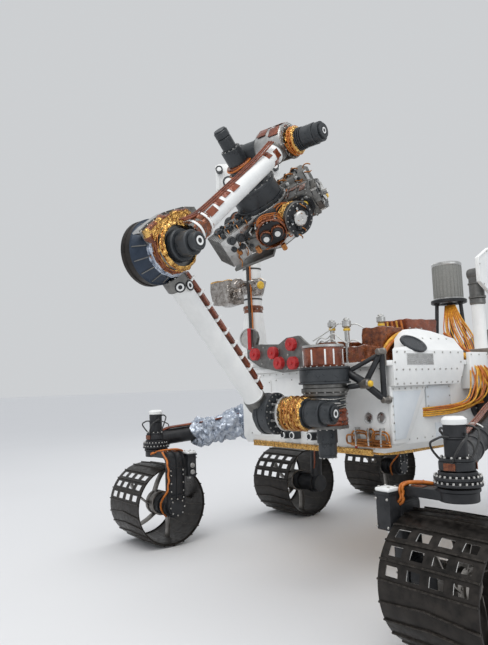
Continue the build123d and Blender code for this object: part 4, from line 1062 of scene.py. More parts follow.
# Paired hazard cameras with lens tubes, front and rear
HAZARD_DEPTH = 46
HAZARD_LENS = [(0, 0), (0, 19), (9, 20), (12, 18), (12, 14), (4, 11), (5, 0)]
cameras, lenses = [], []
for face_x, forward in ((FRONT_X, 1), (TAIL_X, -1)):
    low_x, high_x = sorted((face_x, face_x + forward * HAZARD_DEPTH))
    for y in (-150, -70, 70, 150):
        cameras.append(case("hazard_box", (low_x, y - 23, 697), (high_x, y + 23, 738), 3))
        place = mm(face_x + forward * 40, y, 717)
        lenses.append(turned("hazard_lens", place, X * forward, HAZARD_LENS, 28))
group(
    "hazard_boxes", cameras, "chassis", "black_finish", SATIN_BLACK, stands_for=["hazard_cameras"]
)
lenses = group("hazard_lenses", lenses, "chassis", "black_finish", GLASS, WHITE_PAINT)
tint(lenses, 1, lambda place, way: 0.6105 < place.x < 0.6145 or -1.0905 < place.x < -1.0865)

# Hood on the port front corner, with a dark disc on its sloping face and a vent on its side
hood = merged("corner_cover", "hood", 5.0, segments=3, angle=20.0)
dress(hood, "chassis", "white_paint", WHITE_PAINT, stands_for=["corner_cover"])
slope = Vector((0, 146, 146)).normalized()
disc_place = mm(352, 594, 1186)
disc = turned(
    "hood_disc",
    disc_place,
    slope,
    [(-6, 0), (-6, 84), (3, 84), (5, 80), (5, 70), (1, 67), (1, 0)],
    48,
)
for corner in disc.data.vertices:
    offset = corner.co - disc_place
    down = offset - X * offset.x - slope * offset.dot(slope)
    corner.co = disc_place + X * offset.x * 1.04 + slope * offset.dot(slope) + down * 0.74
dress(disc, "chassis", "black_finish", SATIN_BLACK)
vents = []
for z in range(1084, 1121, 9):
    vents.append(case("hood_vent", (250, 624, z), (446, 630, z + 5), 1))
vents.append(case("hood_vent_frame", (240, 624, 1076), (456, 627, 1133), 1))
group("hood_vents", vents, "chassis", "bare_metal", ALUMINIUM)
hood_bolts = [(mm(x, 626, z), Y) for x in range(40, 541, 50) for z in (986, 1054)]
hood_bolts += [(mm(x, 626, 1140), Y) for x in (20, 90, 160, 230, 470, 530)]
hood_bolts += [(mm(x, 560, 1216), slope) for x in (20, 90, 160, 230)]
hood_bolts += [(mm(x, 500, 1276), Z) for x in (150, 200, 250)]
hood_bolts += [(mm(x, 626, z), Y) for x in (0, 548) for z in (1010, 1090)]
screws("hood_screws", hood_bolts, 5, 3.5, "chassis")

cheek = merged("cheek_panel", "cheek", 3.0)
dress(cheek, "chassis", "white_paint", WHITE_PAINT, stands_for=["cheek_panel"])
cheek_doubler = [(470, 720), (545, 720), (545, 950), (325, 950)]
strip = plate("cheek_doubler", cheek_doubler, mm(0, 598, 0), X, Z, -4, 1.5)
dress(strip, "chassis", "white_paint", BLUE_WHITE)
side_panel = case("side_radiator", (60, SIDE_Y, 856), (270, 590, 974), 3)
dress(side_panel, "chassis", "white_paint", BLUE_WHITE)
cheek_bolts = [(mm(FRONT_X - 14, 598, z), Y) for z in range(720, 960, 40)]
cheek_bolts += [(mm(x, 598, 962), Y) for x in range(310, 545, 46)]
cheek_bolts += [(mm(x, 644, z), Y) for x in (-228, -150, -74) for z in (960, 1128)]
cheek_bolts += [(mm(x, 590, z), Y) for x in (72, 258) for z in (868, 915, 962)]
screws("cheek_screws", cheek_bolts, 4.5, 3, "chassis")

# Deck boxes under amber film, posts with silver tops, hoist pads
boxes = merged("deck_boxes", "deck_wraps", 6.0, segments=3)
crumple(boxes, 5, 9.0, 46)
dress(boxes, "chassis", "amber_film", AMBER_FILM, BROWN_FILM, stands_for=["deck_boxes"])
tint(boxes, 1, lambda place, way: place.x < 0.19)
# Posts: place, foot, shoulder and top
DECK_POSTS = (
    (480, 264, DECK_Z, 1300, 1348), (470, 146, 1220, 1312, 1350), (330, 376, 1285, 1320, 1362)
)
posts, collars = [], []
for post_x, post_y, foot, shoulder_z, top in DECK_POSTS:
    place = mm(post_x, post_y, 0)
    profile = [(foot, 0), (foot, 24), (foot + 6, 24), (foot + 10, 13), (shoulder_z - 8, 13)]
    profile += [
        (shoulder_z, 24), (top - 16, 24), (top - 12, 18), (top - 4, 16), (top, 10), (top, 0)
    ]
    posts.append(turned("deck_post", place, Z, profile, 28))
    low, high = shoulder_z - 22, shoulder_z - 10
    profile = [(low, 12), (low, 19), (high, 19), (high, 12), (low, 12)]
    collars.append(turned("post_collar", place, Z, profile, 28))
group("silver_posts", posts, "chassis", "bare_metal", ALUMINIUM, stands_for=["deck_posts"])
group("post_collars", collars, "chassis", "white_paint", YELLOW_CAP)
HOIST_PAD = [
    (1088, 8), (DECK_Z, 8), (DECK_Z, 36), (1102, 38), (1117, 38), (1120, 35), (1120, 10), (1118, 8),
    (1088, 8)
]
pads = []
for x, y in ((290, -170), (-790, 565), (-790, -565)):
    pads.append(turned("hoist_pad", mm(x, y, 0), Z, HOIST_PAD, 36))
group("hoist_bosses", pads, "chassis", "bare_metal", ALUMINIUM, stands_for=["hoist_pads"])

# Sample inlets and their lids
funnels = merged("sample_inlets", "inlet_funnels", 1.5)
dress(funnels, "chassis", "bare_metal", ALUMINIUM, stands_for=["sample_inlets"])
for number, y in enumerate((-60, -170, -280), start=1):
    lid = merged(f"inlet_lid_{number}", f"inlet_cover_{number}", 1.2)
    recess(lid, Z, 7, 1.5)
    dress(lid, f"inlet_lid_{number}", "bare_metal", ALUMINIUM, stands_for=[f"inlet_lid_{number}"])
    pin = turned(
        f"inlet_hinge_{number}", mm(404, y - 30, 1172), Y, [(0, 0), (0, 4), (60, 4), (60, 0)], 16
    )
    dress(pin, "chassis", "bare_metal", STEEL)

# Plate of covered check samples with a mesh tray beside it
board = merged("sample_plate", "sample_board", 1.5)
dress(board, "chassis", "bare_metal", HARDCOAT, RED_COVER, stands_for=["sample_plate"])
tint(board, 1, lambda place, way: place.x > 0.6055)
SAMPLE_COVERS = ((-367, 1190), (-197, 1188), (-36, 1226), (-147, 1126), (-27, 1120))
BOARD_BOLTS = (
    (-440, 1218), (-300, 1226), (-240, 1150), (-100, 1240), (60, 1190), (70, 1120), (-90, 1090),
    (-320, 1130), (-160, 1210), (-80, 1170)
)
covers = []
for y, z in SAMPLE_COVERS:
    profile = [
        (25, 0), (25, 36), (28, 36), (30, 33), (30, 24), (28, 22), (28, 10), (34, 9), (34, 0)
    ]
    covers.append(turned("sample_cover", mm(604, y, z), X, profile, 32))
group("sample_covers", covers, "chassis", "bare_metal", RED_COVER)
tray_way = Vector((0.82, 0.57, 0))
tray_place = mm(612, -421, 1292)
profile = [(-8, 0), (-8, 62), (6, 64), (6, 58), (-2, 56), (-2, 0)]
tray = turned("mesh_tray", tray_place, tray_way, profile, 40)
dress(tray, "chassis", "bare_metal", ALUMINIUM, STEEL)
tint(tray, 1, lambda place, way: (place - tray_place).length < 0.05)
frame_of_tray = (tray_place, Z.cross(tray_way), Z, tray_way)
strap = case("tray_strap", (-10, -70, 6), (12, 62, 13), 1.5, frame_of_tray)
dress(strap, "chassis", "amber_film", RED_COVER)
screws("board_screws", [(mm(604, y, z), X) for y, z in BOARD_BOLTS], 5, 4, "chassis")

# Wiring over the deck: amber bundles, a thick harness round the hood, thin white loops and tape
# Each lead has its thickness, then its places
DECK_LEADS = (
    (
        20, (520, 420, 1108), (480, 300, 1112), (420, 150, 1110), (400, 60, 1112), (380, -60, 1110),
        (340, -200, 1110), (300, -330, 1112)
    ),
    (
        22, (240, 300, 1110), (180, 200, 1112), (100, 170, 1110), (-60, 190, 1110),
        (-200, 220, 1112), (-360, 240, 1110), (-520, 220, 1110), (-700, 120, 1112)
    ),
    (
        16, (240, 280, 1112), (160, 170, 1114), (80, 150, 1112), (-80, 165, 1112),
        (-220, 195, 1112), (-380, 215, 1112)
    ),
    (
        18, (-150, 520, 1110), (-320, 560, 1112), (-480, 560, 1110), (-600, 470, 1112),
        (-640, 420, 1110)
    ),
    (
        14, (-150, 540, 1112), (-320, 580, 1112), (-480, 584, 1112), (-620, 560, 1112),
        (-740, 500, 1110), (-900, 480, 1112)
    ),
    (
        20, (200, -420, 1112), (60, -440, 1110), (-200, -430, 1112), (-480, -420, 1110),
        (-740, -410, 1112)
    ),
    (14, (-838, -120, 1112), (-800, -180, 1110), (-760, -220, 1150), (-740, -260, 1205)),
    (
        20, (404, 430, 1150), (380, 452, 1200), (330, 460, 1236), (250, 458, 1262),
        (150, 456, 1268), (40, 452, 1250), (-70, 450, 1216), (-108, 450, 1160), (-110, 470, 1112)
    ),
    (
        20, (412, 436, 1120), (396, 456, 1168), (346, 462, 1212), (268, 462, 1240),
        (160, 460, 1244), (50, 456, 1226), (-60, 454, 1194), (-104, 466, 1130), (-130, 490, 1112)
    ),
    (22, (-62, 560, 1150), (-90, 600, 1120), (-120, 640, 1060), (-170, 652, 980), (-214, 656, 930)),
    (
        20, (-62, 530, 1158), (-110, 576, 1126), (-150, 640, 1070), (-190, 654, 1000),
        (-240, 660, 930)
    ),
    (
        18, (-40, 500, 1190), (-110, 520, 1150), (-200, 590, 1120), (-262, 636, 1080),
        (-280, 650, 980), (-268, 660, 930)
    ),
    (
        16, (-100, 470, 1260), (-160, 470, 1230), (-230, 500, 1170), (-290, 560, 1124),
        (-360, 600, 1112)
    ),
)
THIN_LOOPS = (
    [
        (520, 60, 1215), (528, 100, 1262), (520, 150, 1236), (528, 204, 1276), (514, 250, 1232),
        (520, 300, 1204), (530, 350, 1230), (520, 400, 1200)
    ],
    [
        (500, 10, 1110), (512, 40, 1180), (506, 90, 1244), (512, 130, 1222), (520, 190, 1246),
        (516, 230, 1206), (520, 280, 1186)
    ],
    [
        (416, 330, 1288), (438, 300, 1320), (452, 250, 1306), (470, 200, 1330), (484, 160, 1300),
        (500, 100, 1270), (520, 40, 1240)
    ],
)
# Tape on the deck boxes: place, outward way, long way, length and width
DECK_TAPE = (
    (520, 330, 1142, X, Y, 40, 60),
    (520, 400, 1150, X, Y, 46, 50),
    (512, 110, 1160, X, Y, 56, 70),
    (512, 190, 1150, X, Y, 40, 60),
    (360, 310, 1210, -Y, X, 60, 60),
    (290, 310, 1250, -Y, X, 50, 40),
    (412, 356, 1240, X, Y, 50, 40),
    (60, 240, 1290, -Y, X, 80, 60),
    (-40, 240, 1220, -Y, X, 70, 90),
    (20, 300, 1341, Z, X, 90, 70),
)
runs = [cable("deck_lead", route(points), thickness) for thickness, *points in DECK_LEADS]
# Six leads down the inner side of the boxes, thirteen over the cheek and eighteen up to the mast
for number in range(6):
    y = 240 + 34 * number
    points = [(160 + 4 * number, y - 20, 1334), (172, y - 10, 1300 - 12 * number)]
    points += [(184, y + 8, 1240), (206, y + 14, 1180 - 8 * number), (214, y, 1112)]
    runs.append(cable("deck_lead", route(points), 12))
for number in range(13):
    spread, drop, bulge = 16 * number, 16 * math.sin(number * 1.9), 10 * (number % 3)
    fifth, quarter = number % 5, number % 4
    points = [(-70 - spread * 0.4, 552, 1116), (-84 - spread * 0.5, 622, 1092)]
    points += [(-66 - spread * 0.9 + drop, 640 + bulge, 1046)]
    points += [(-50 - spread * 1.1 - drop, 646 + bulge, 990)]
    points += [(-40 - spread * 1.1, 648 + bulge, 934 + drop)]
    points += [(-10 - spread, 640 + bulge, 888 - 5 * quarter)]
    points += [(50 - spread * 0.6, 626 + bulge / 2, 870 - 8 * fifth)]
    points += [
        (136 - spread * 0.3, 612 + bulge / 3, 862 - 10 * fifth), (224, 606, 860 - 10 * fifth)
    ]
    points += [(290 - 8 * quarter, 596, 858 - 10 * fifth), (306, 556, 852 - 8 * fifth)]
    runs.append(cable("deck_lead", route(points), 9))
for number in range(18):
    spread, drop = 9 * number - 75, 14 * math.sin(number * 1.3)
    points = [(-560, 330 + spread, 1112), (-590, 280 + spread * 1.3, 1210 + drop)]
    points += [(-650, 190 + spread * 1.3 + drop, 1316 - drop)]
    points += [(-740, 110 + spread * 0.8, 1420), (-800, 60 + spread * 0.5, 1512)]
    runs.append(cable("deck_lead", route(points), 8))
group("deck_gold_leads", runs[1::2], "chassis", "amber_film", GOLD_SHEATH)
group("deck_leads", runs[::2], "chassis", "amber_film", ORANGE_SHEATH)
thin = [cable("thin_loop", route(points), 7) for points in THIN_LOOPS]
group("thin_loops", thin, "chassis", "white_paint", WHITE_SHEATH)
squares = [(mm(x, y, z), *rest) for x, y, z, *rest in DECK_TAPE]
dress(patches("deck_tape", squares), "chassis", "amber_film", BROWN_FILM)
tag = case("red_tag", (563, 356, 660), (566, 372, 716), 0.6)
dress(tag, "chassis", "amber_film", RED_COVER)

# arm


def ring_target(name, point, way, radius, body):
    """A plain round sighting target: light ring on a dark disc."""
    inner, outer = radius * 0.4, radius * 0.72
    profile = [(-3, 0), (-3, radius), (0, radius), (0, outer), (0, inner), (0, 0)]
    disc = turned(name, point, way, profile, 32)
    dress(disc, body, "white_paint", BLACK, WHITE_PAINT)
    tint(disc, 1, lambda place, normal: inner * MM < (place - point).length < outer * MM)


WRAP_FOLDS = 9


def wrapped(name, origin, way, low, high, radius, body, finish, swell=7.0):
    """Film wrapped round a drive and crumpled, drawn in close at both ends."""
    profile = [(low, radius - 2), (low, radius + 1)]
    for i in range(1, WRAP_FOLDS):
        along = low + (high - low) * i / WRAP_FOLDS
        profile.append((along, radius + swell * (0.45 + 0.55 * math.sin(i * 2.4))))
    profile += [(high, radius + 1), (high, radius - 2)]
    wrap = turned(name, origin, way, profile, 56)
    crumple(wrap, 1, 9.0, 24)
    dress(wrap, body, "gold_film" if finish == GOLD_FOIL else "amber_film", finish)


def coil(name, origin, way, low, high, radius, thickness, turns, slack=5.0):
    """A lead wound round a drive, with slack in its turns."""
    across = way.orthogonal().normalized()
    upward = way.cross(across)
    count = int(turns * 14)
    points = []
    for i in range(count + 1):
        x, y = polar(radius + slack * math.sin(i * 2.1), 360.0 * turns * i / count + 40)
        along = low + (high - low) * i / count + 0.8 * slack * math.sin(i * 1.3)
        points.append(origin + (across * x + upward * y + way * along) * MM)
    return cable(name, points, thickness, 4)


def arm_tube(name, start, end, side, start_gap, end_gap, body, node):
    """A white arm tube with a collar at each end."""
    first, last = at_arm(*start, side), at_arm(*end, side)
    way = (last - first).normalized()
    low, high = start_gap, (last - first).length / MM - end_gap
    profile = [(low, 0), (low, 54), (low + 3, 56), (low + 56, 56), (low + 60, 52), (low + 68, 48)]
    profile += [(high - 68, 48), (high - 60, 52), (high - 56, 56), (high - 3, 56)]
    profile += [(high, 54), (high, 0)]
    tube = turned(name, first, last - first, profile, 48)
    dress(tube, body, "white_paint", WHITE_PAINT, HARDCOAT, stands_for=[node])
    tint(tube, 1, lambda place, _: not low + 60 < (place - first).dot(way) / MM < high - 60)
    bolts = ring_of(12, 52, first + way * low * MM, way * -1)
    bolts += ring_of(12, 52, first + way * high * MM, way)
    screws(f"{name}_bolts", bolts, 3.5, 3, body)
    return first, last, way


# Azimuth stack: the fixed housing, its drum in film with white strips, and the turning yoke
HOUSING = [(958, 978, 116), (978, 997, 108), (997, 1008, 128), (1008, 1068, 122), (1068, 1080, 128)]
DRUM = [
    (1080, 0), (1080, 100), (1086, 103), (1126, 101), (1166, 103), (1172, 100), (1176, 100),
    (1176, 104), (1186, 104), (1188, 102), (1188, 0)
]
STRIP_ANGLES = (12, 50, 74, 112, 163, 205, 241, 290, 331)
housing = turned("azimuth_housing", AZIMUTH, Z, stepped(HOUSING), 56)
dress(housing, "chassis", "black_finish", SATIN_BLACK, HARDCOAT)
tint(housing, 1, lambda place, normal: place.z < 998 * MM)
crown_drum = turned("azimuth_drum", AZIMUTH, Z, DRUM, 56)
dress(crown_drum, "chassis", "amber_film", BROWN_FILM, ALUMINIUM)
tint(crown_drum, 1, lambda place, normal: place.z > 1176 * MM)
strips = []
for angle in STRIP_ANGLES:
    way = Vector((*polar(1, angle), 0))
    strips.append((AZIMUTH + (way * 101.5 + Z * 1127) * MM, way, Z, 74, 8))
dress(patches("azimuth_strips", strips), "chassis", "white_paint", WHITE_PAINT)
bolts = ring_of(24, 122, AZIMUTH + Z * 1.0802, Z) + ring_of(18, 112, AZIMUTH + Z * 0.958, -Z)
screws("azimuth_bolts", bolts, 4, 4, "chassis")

# Struts that carry the housing from the front panel, on both sides of it
TRUSS = (
    # start and end, each as distance behind the axis, distance to the side and height, then radius
    ((166, 228, 1142), (166, 228, 912), 14),
    ((162, 222, 1134), (104, 168, 992), 14),
    ((162, 222, 920), (104, 168, 992), 17),
    ((110, 172, 990), (70, 84, 1052), 20),
    ((106, 168, 988), (60, 90, 978), 13),
    ((160, 216, 1130), (76, 96, 1056), 11),
)
STRUT_FOOT_Y = 228


def beside(side, behind, out, height):
    """A place beside the azimuth axis."""
    return mm(AZIMUTH_X - behind, AZIMUTH_Y + side * out, height)


struts, pads, caps = [], [], []
for side in (1, -1):
    for start, end, radius in TRUSS:
        first, last = beside(side, *start), beside(side, *end)
        length = (last - first).length / MM
        profile = [(0, 0), (0, radius * 0.7), (length * 0.12, radius)]
        profile += [(length * 0.88, radius), (length, radius * 0.7), (length, 0)]
        struts.append(turned("strut", first, last - first, profile, 20))
    foot_y = AZIMUTH_Y + side * STRUT_FOOT_Y
    for height, foot_x in ((1142, 582), (912, FRONT_X)):
        profile = [(0, 0), (0, 20), (8, 20), (12, 16), (44, 16), (48, 13), (48, 0)]
        pads.append(turned("strut_pad", mm(foot_x, foot_y, height), X, profile, 28))
    pads.append(case("pad_rail", (582, foot_y - 16, 1078), (592, foot_y + 16, 1140), 2))
    joint, outwards = beside(side, 104, 168, 992), Y * side
    profile = [(-24, 0), (-24, 24), (24, 24), (30, 18), (30, 0)]
    pads.append(turned("strut_joint", joint, outwards, profile, 28))
    profile = [(30, 0), (30, 15), (40, 14), (44, 9), (44, 0)]
    caps.append(turned("strut_cap", joint, outwards, profile, 24))
group("strut_caps", caps, "chassis", "white_paint", YELLOW_CAP)
group("mount_struts", struts, "chassis", "black_finish", BLACK, stands_for=["arm_mount"])
group("mount_pads", pads, "chassis", "titanium", TITANIUM)

# Shoulder yoke, its drive and the leads round them
YOKE = [
    (643, 656, 42), (656, 712, 44.5), (712, 783, 50), (783, 798, 108), (798, 940, 98),
    (940, 957, 108)
]
SHOULDER_INNER = [
    (-150, -140, 36), (-140, -88, 49), (-88, -14, 61), (-14, -10, 58), (-10, -6, 61), (-6, 0, 58)
]
SHOULDER_OUTER = [(0, 128, 72), (128, 140, 83), (140, 179, 52)]
STANDOFF = [(0, 0), (0, 7), (6, 7), (8, 5), (31, 5), (33, 7), (39, 7), (39, 0)]
yoke = turned("azimuth_yoke", AZIMUTH, Z, stepped(YOKE), 52)
dress(yoke, "arm_azimuth", "black_finish", SATIN_BLACK, HARDCOAT, stands_for=["shoulder_yoke"])
tint(yoke, 1, lambda place, _: place.z > 938 * MM or 781 * MM < place.z < 800 * MM)
wrapped("azimuth_wrap", AZIMUTH, Z, 800, 874, 98, "arm_azimuth", BROWN_FILM, 6)
rounds = [coil("azimuth_coil", AZIMUTH, Z, 882, 908, 103, 7, 2)]
rounds.append(coil("azimuth_coil", AZIMUTH, Z, 915, 934, 102, 6, 1.5))
group("azimuth_coils", rounds, "arm_azimuth", "bare_metal", STEEL)
bolts = ring_of(20, 102, AZIMUTH + Z * 0.783, -Z) + ring_of(12, 40, AZIMUTH + Z * 0.643, -Z)
screws("yoke_bolts", bolts, 4, 4, "arm_azimuth")
hinge = at_arm(*SHOULDER, 0)
profile = stepped(SHOULDER_INNER, 3.0) + stepped(SHOULDER_OUTER)[1:]
shoulder = turned("shoulder_drive", hinge, SIDE, profile, 52)
dress(shoulder, "arm_azimuth", "black_finish", SATIN_BLACK, ALUMINIUM)
tint(shoulder, 1, lambda place, normal: (place - hinge).dot(SIDE) > 0.127)
wrapped("shoulder_foil", hinge, SIDE, 4, 124, 72, "arm_azimuth", GOLD_FOIL, 7)
rounds = []
for start in (14, 48, 82):
    rounds.append(coil("shoulder_coil", hinge, SIDE, start, start + 26, 81, 8, 1.4))
group("shoulder_coils", rounds, "arm_azimuth", "amber_film", COPPER)
posts = []
for point, way in ring_of(10, 66, hinge + SIDE * 0.140, SIDE):
    posts.append(turned("standoff", point, SIDE, STANDOFF, 16))
group("shoulder_standoffs", posts, "arm_azimuth", "bare_metal", ALUMINIUM)
ring_target("shoulder_target", hinge - SIDE * 0.1505, -SIDE, 27, "arm_azimuth")
screws("shoulder_bolts", ring_of(20, 78, hinge + SIDE * 0.128, -SIDE), 4, 4, "arm_azimuth")


def cone_ribs(name, hinge, count, outline, body, finish):
    """Flat ribs round a hinge, drawn by distance out and place along the hinge."""
    ribs = []
    for number in range(count):
        out = between(REACH, Z, 360.0 * number / count)
        across = out.cross(SIDE)
        ribs.append(plate("cone_rib", outline, hinge - across * 2.5 * MM, out, SIDE, 5, 0.6))
    group(name, ribs, body, "black_finish", finish)


# Upper arm, with a flat bundle of leads along its upper side
BASE = [(180, 196, 102), (196, 236, 97), (236, 257, 102), (257, 290, 70)]
base = turned("upper_arm_base", hinge, SIDE, stepped(BASE), 52)
dress(base, "arm_upper", "black_finish", SATIN_BLACK)
bolts = ring_of(20, 92, hinge + SIDE * 0.180, -SIDE) + ring_of(16, 86, hinge + SIDE * 0.257, SIDE)
screws("base_bolts", bolts, 4, 4, "arm_upper")
first, last, way = arm_tube(
    "upper_arm_tube", SHOULDER, ELBOW, 265, 60, 128, "arm_upper", "upper_arm"
)
upper_side = SIDE.cross(way)
# Leads of the bundle by their distance across it and their lift, and the course that all follow
BUNDLE = ((-24, 0), (-11, 2), (2, 2), (15, 0), (-17, 12), (-4, 14), (9, 12))
COURSE = ((110, 62), (170, 70), (240, 72), (420, 71), (600, 72), (760, 70), (830, 64))
bundle, clips = [], []
for across, lift in BUNDLE:
    points = []
    for along, rise in COURSE:
        points.append(first + (way * along + upper_side * (rise + lift) - SIDE * across) * MM)
    bundle.append(cable("upper_lead", points, 15))
for along in range(170, 800, 78):
    spot = (first + (way * along + upper_side * 49) * MM, way, SIDE * -1, upper_side)
    clips.append(case("lead_clip", (-5, -36, 0), (5, 28, 46), 3.0, spot))
group("upper_leads", bundle, "arm_upper", "amber_film", BROWN_FILM)
group("upper_clips", clips, "arm_upper", "white_paint", WHITE_PAINT)
for number, (along, turn) in enumerate(((172, 38), (196, -8)), start=1):
    out = between(-SIDE, -upper_side, turn).normalized()
    place = last + (out * 58 - way * along) * MM
    ring_target(f"upper_target_{number}", place, out, 24, "arm_upper")

# Cable drum at the elbow
hinge = at_arm(*ELBOW, 0)
RIM = [
    (196, 0), (196, 60), (196, 106), (206, 108), (256, 132), (262, 138), (264, 142), (280, 142),
    (283, 138), (302, 138), (305, 142), (320, 142), (322, 138), (322, 96), (325, 94), (334, 92),
    (334, 0)
]
CONE_RIB = [(96, 204), (96, 198), (108, 198), (136, 256), (136, 262), (126, 262)]
rim = turned("elbow_cable_rim", hinge, SIDE, RIM, 72)
dress(rim, "arm_upper", "black_finish", WHEEL_METAL, NAVY, stands_for=["elbow_cable_drum"])
tint(rim, 1, lambda place, normal: (place - hinge).dot(SIDE) < 0.263)
cone_ribs("elbow_ribs", hinge, 14, CONE_RIB, "arm_upper", HARDCOAT)
bolts = ring_of(24, 120, hinge + SIDE * 0.322, SIDE) + ring_of(20, 100, hinge + SIDE * 0.196, -SIDE)
screws("rim_bolts", bolts, 4.5, 4, "arm_upper")

# Elbow drive, its shell and the forearm


def by_forearm(along, rise):
    """A place in the arm's plane from the elbow, along the forearm and towards its upper side."""
    return tuple(Vector(polar(along, 139.1)) + Vector(polar(rise, 49.1)))


# The shell's back, by distance along the forearm and rise from its axis
SHELL = ((-85, 137), (-40, 139), (0, 137), (42, 134), (80, 130), (135, 113), (190, 94))
WEB_FOOT = ((250, 60), (250, -60), (40, -60), (-40, -20), (-85, 60))
NECK = ((0, 58), (150, 58), (150, -58), (0, -58))
BLANKET_FOOT = ((190, 62), (150, 20), (60, 10), (-30, 20), (-80, 66))
ELBOW_DRIVE = stepped([(0, 35, 38), (35, 94, 53), (94, 125, 69)], 5.0)
ELBOW_DRIVE += [(125, 98), (136, 100), (168, 94), (180, 100), (180, 0)]
web = [by_forearm(*point) for point in SHELL + WEB_FOOT]
shell = [by_forearm(*point) for point in SHELL]
shell += [by_forearm(along, rise - 9) for along, rise in reversed(SHELL)]
neck = [by_forearm(*point) for point in NECK]
pieces = [
    plate("elbow_web", web, at_arm(*ELBOW, 176), REACH, Z, 14, 1.5),
    plate("elbow_shell", shell, at_arm(*ELBOW, 176), REACH, Z, 54, 1.5),
    plate("elbow_neck", neck, at_arm(*ELBOW, 125), REACH, Z, 52, 3.0),
]
housing = joined("elbow_housing", pieces)
dress(
    housing, "arm_fore", "bare_metal", ALUMINIUM, HARDCOAT, SATIN_BLACK,
    stands_for=["forearm_drives"],
)
tint(housing, 1, lambda place, normal: (place - hinge).dot(SIDE) < 0.189)
# Faces of the housing that look in towards the hinge take the dark can finish: painted shade on its
# inner side
tint(
    housing,
    2,
    lambda place, normal: abs(normal.dot(SIDE)) < 0.3 and normal.dot(place - hinge) < -0.02,
)
elbow = turned("elbow_drive", hinge, SIDE, ELBOW_DRIVE, 56)
dress(elbow, "arm_fore", "black_finish", SATIN_BLACK, HARDCOAT)
tint(elbow, 1, lambda place, normal: (place - hinge).dot(SIDE) > 0.124)
wrapped("elbow_foil", hinge, SIDE, 112, 150, 88, "arm_fore", GOLD_FOIL, 12)
wrapped("elbow_film", hinge, SIDE, 142, 176, 98, "arm_fore", AMBER_FILM, 10)
wrapped("elbow_clear", hinge, SIDE, 166, 192, 106, "arm_fore", CLEAR_FILM, 10)
outline = [by_forearm(along * 0.93, rise * 0.9) for along, rise in SHELL[:6]]
outline += [by_forearm(*point) for point in BLANKET_FOOT]
blanket = plate("elbow_blanket", outline, at_arm(*ELBOW, 146), REACH, Z, 28, 3.0)
crumple(blanket, 5, 22.0, 50)
dress(blanket, "arm_fore", "amber_film", AMBER_FILM, GOLD_FOIL)
tint(blanket, 1, lambda place, _: math.sin(place.x * 90) + math.sin(place.z * 110) > 0.5)
rounds = []
for i in range(3):
    low, high, radius = 116 + 22 * i, 132 + 20 * i, 97 + 5 * i
    rounds.append(coil("elbow_coil", hinge, SIDE, low, high, radius, 6, 1.2, 9))
group("elbow_coils", rounds, "arm_fore", "amber_film", COPPER)
ring_target("elbow_target", hinge - SIDE * 0.0005, -SIDE, 27, "arm_fore")
shell_bolts = []
for along, rise in SHELL:
    reach, height = by_forearm(along, rise - 5)
    shell_bolts.append((at_arm(ELBOW[0] + reach, ELBOW[1] + height, 176), -SIDE))
screws("elbow_bolts", shell_bolts, 4.5, 4, "arm_fore")
first, last, way = arm_tube(
    "forearm_tube_white", ELBOW, WRIST, 120, 80, 60, "arm_fore", "forearm_tube"
)
upper_side = way.cross(SIDE)
wrapped("forearm_wrap", first, way, 84, 186, 52, "arm_fore", AMBER_FILM, 5)
# Tape on the forearm: place along it, angle round it, length and width
FOREARM_TAPE = (
    (230, 30, 60, 34), (300, 44, 44, 40), (370, 52, 50, 36), (440, 46, 60, 40), (842, 10, 40, 44),
    (820, -34, 44, 30), (780, 40, 40, 36)
)
squares = []
for along, turn, length, width in FOREARM_TAPE:
    out = between(-SIDE, upper_side, turn)
    squares.append((first + (way * along + out * 47) * MM, out, way, length, width))
dress(patches("forearm_tape", squares), "arm_fore", "amber_film", BROWN_FILM)
bands = []
for along in (104, 172):
    bands.append(turned("forearm_band", first + way * along * MM, way, band(6, 47, 60), 44))
group("forearm_bands", bands, "arm_fore", "white_paint", WHITE_PAINT)
# Three leads along the forearm: at each place along it, what is added to their rise and distance
LEAD_COURSE = (
    (70, 30, 0), (130, 12, 6), (210, 2, 0), (420, 0, -4), (640, 0, 0), (780, 10, 10), (850, 22, 24)
)
leads = []
for across, rise in ((26, 44), (16, 50), (4, 53)):
    points = []
    for along, lift, shift in LEAD_COURSE:
        place = way * along + upper_side * (rise + lift) - SIDE * (across + shift)
        points.append(first + place * MM)
    leads.append(cable("forearm_lead", points, 9))
group("forearm_leads", leads, "arm_fore", "amber_film", BROWN_FILM)

# Wrist drive under its cover, with squares of tape
hinge = at_arm(*WRIST, 0)
WRIST_DRIVE = [
    (-130, -118, 38), (-118, -84, 50), (-84, -16, 54), (-16, -11, 51), (-11, -5, 56), (-5, 0, 52),
    (0, 6, 57), (6, 10, 53), (10, 20, 58), (20, 65, 60), (65, 76, 84), (76, 232, 78), (232, 250, 84)
]
COVER_LOW, COVER_HIGH = -35, 145
# Tape round the cover: angle, place along the wrist, length and width
ROUND_TAPE = (
    (24, 110, 60, 56), (66, 104, 56, 58), (104, 112, 62, 56), (36, 190, 56, 60), (80, 192, 60, 52),
    (120, 186, 56, 58)
)
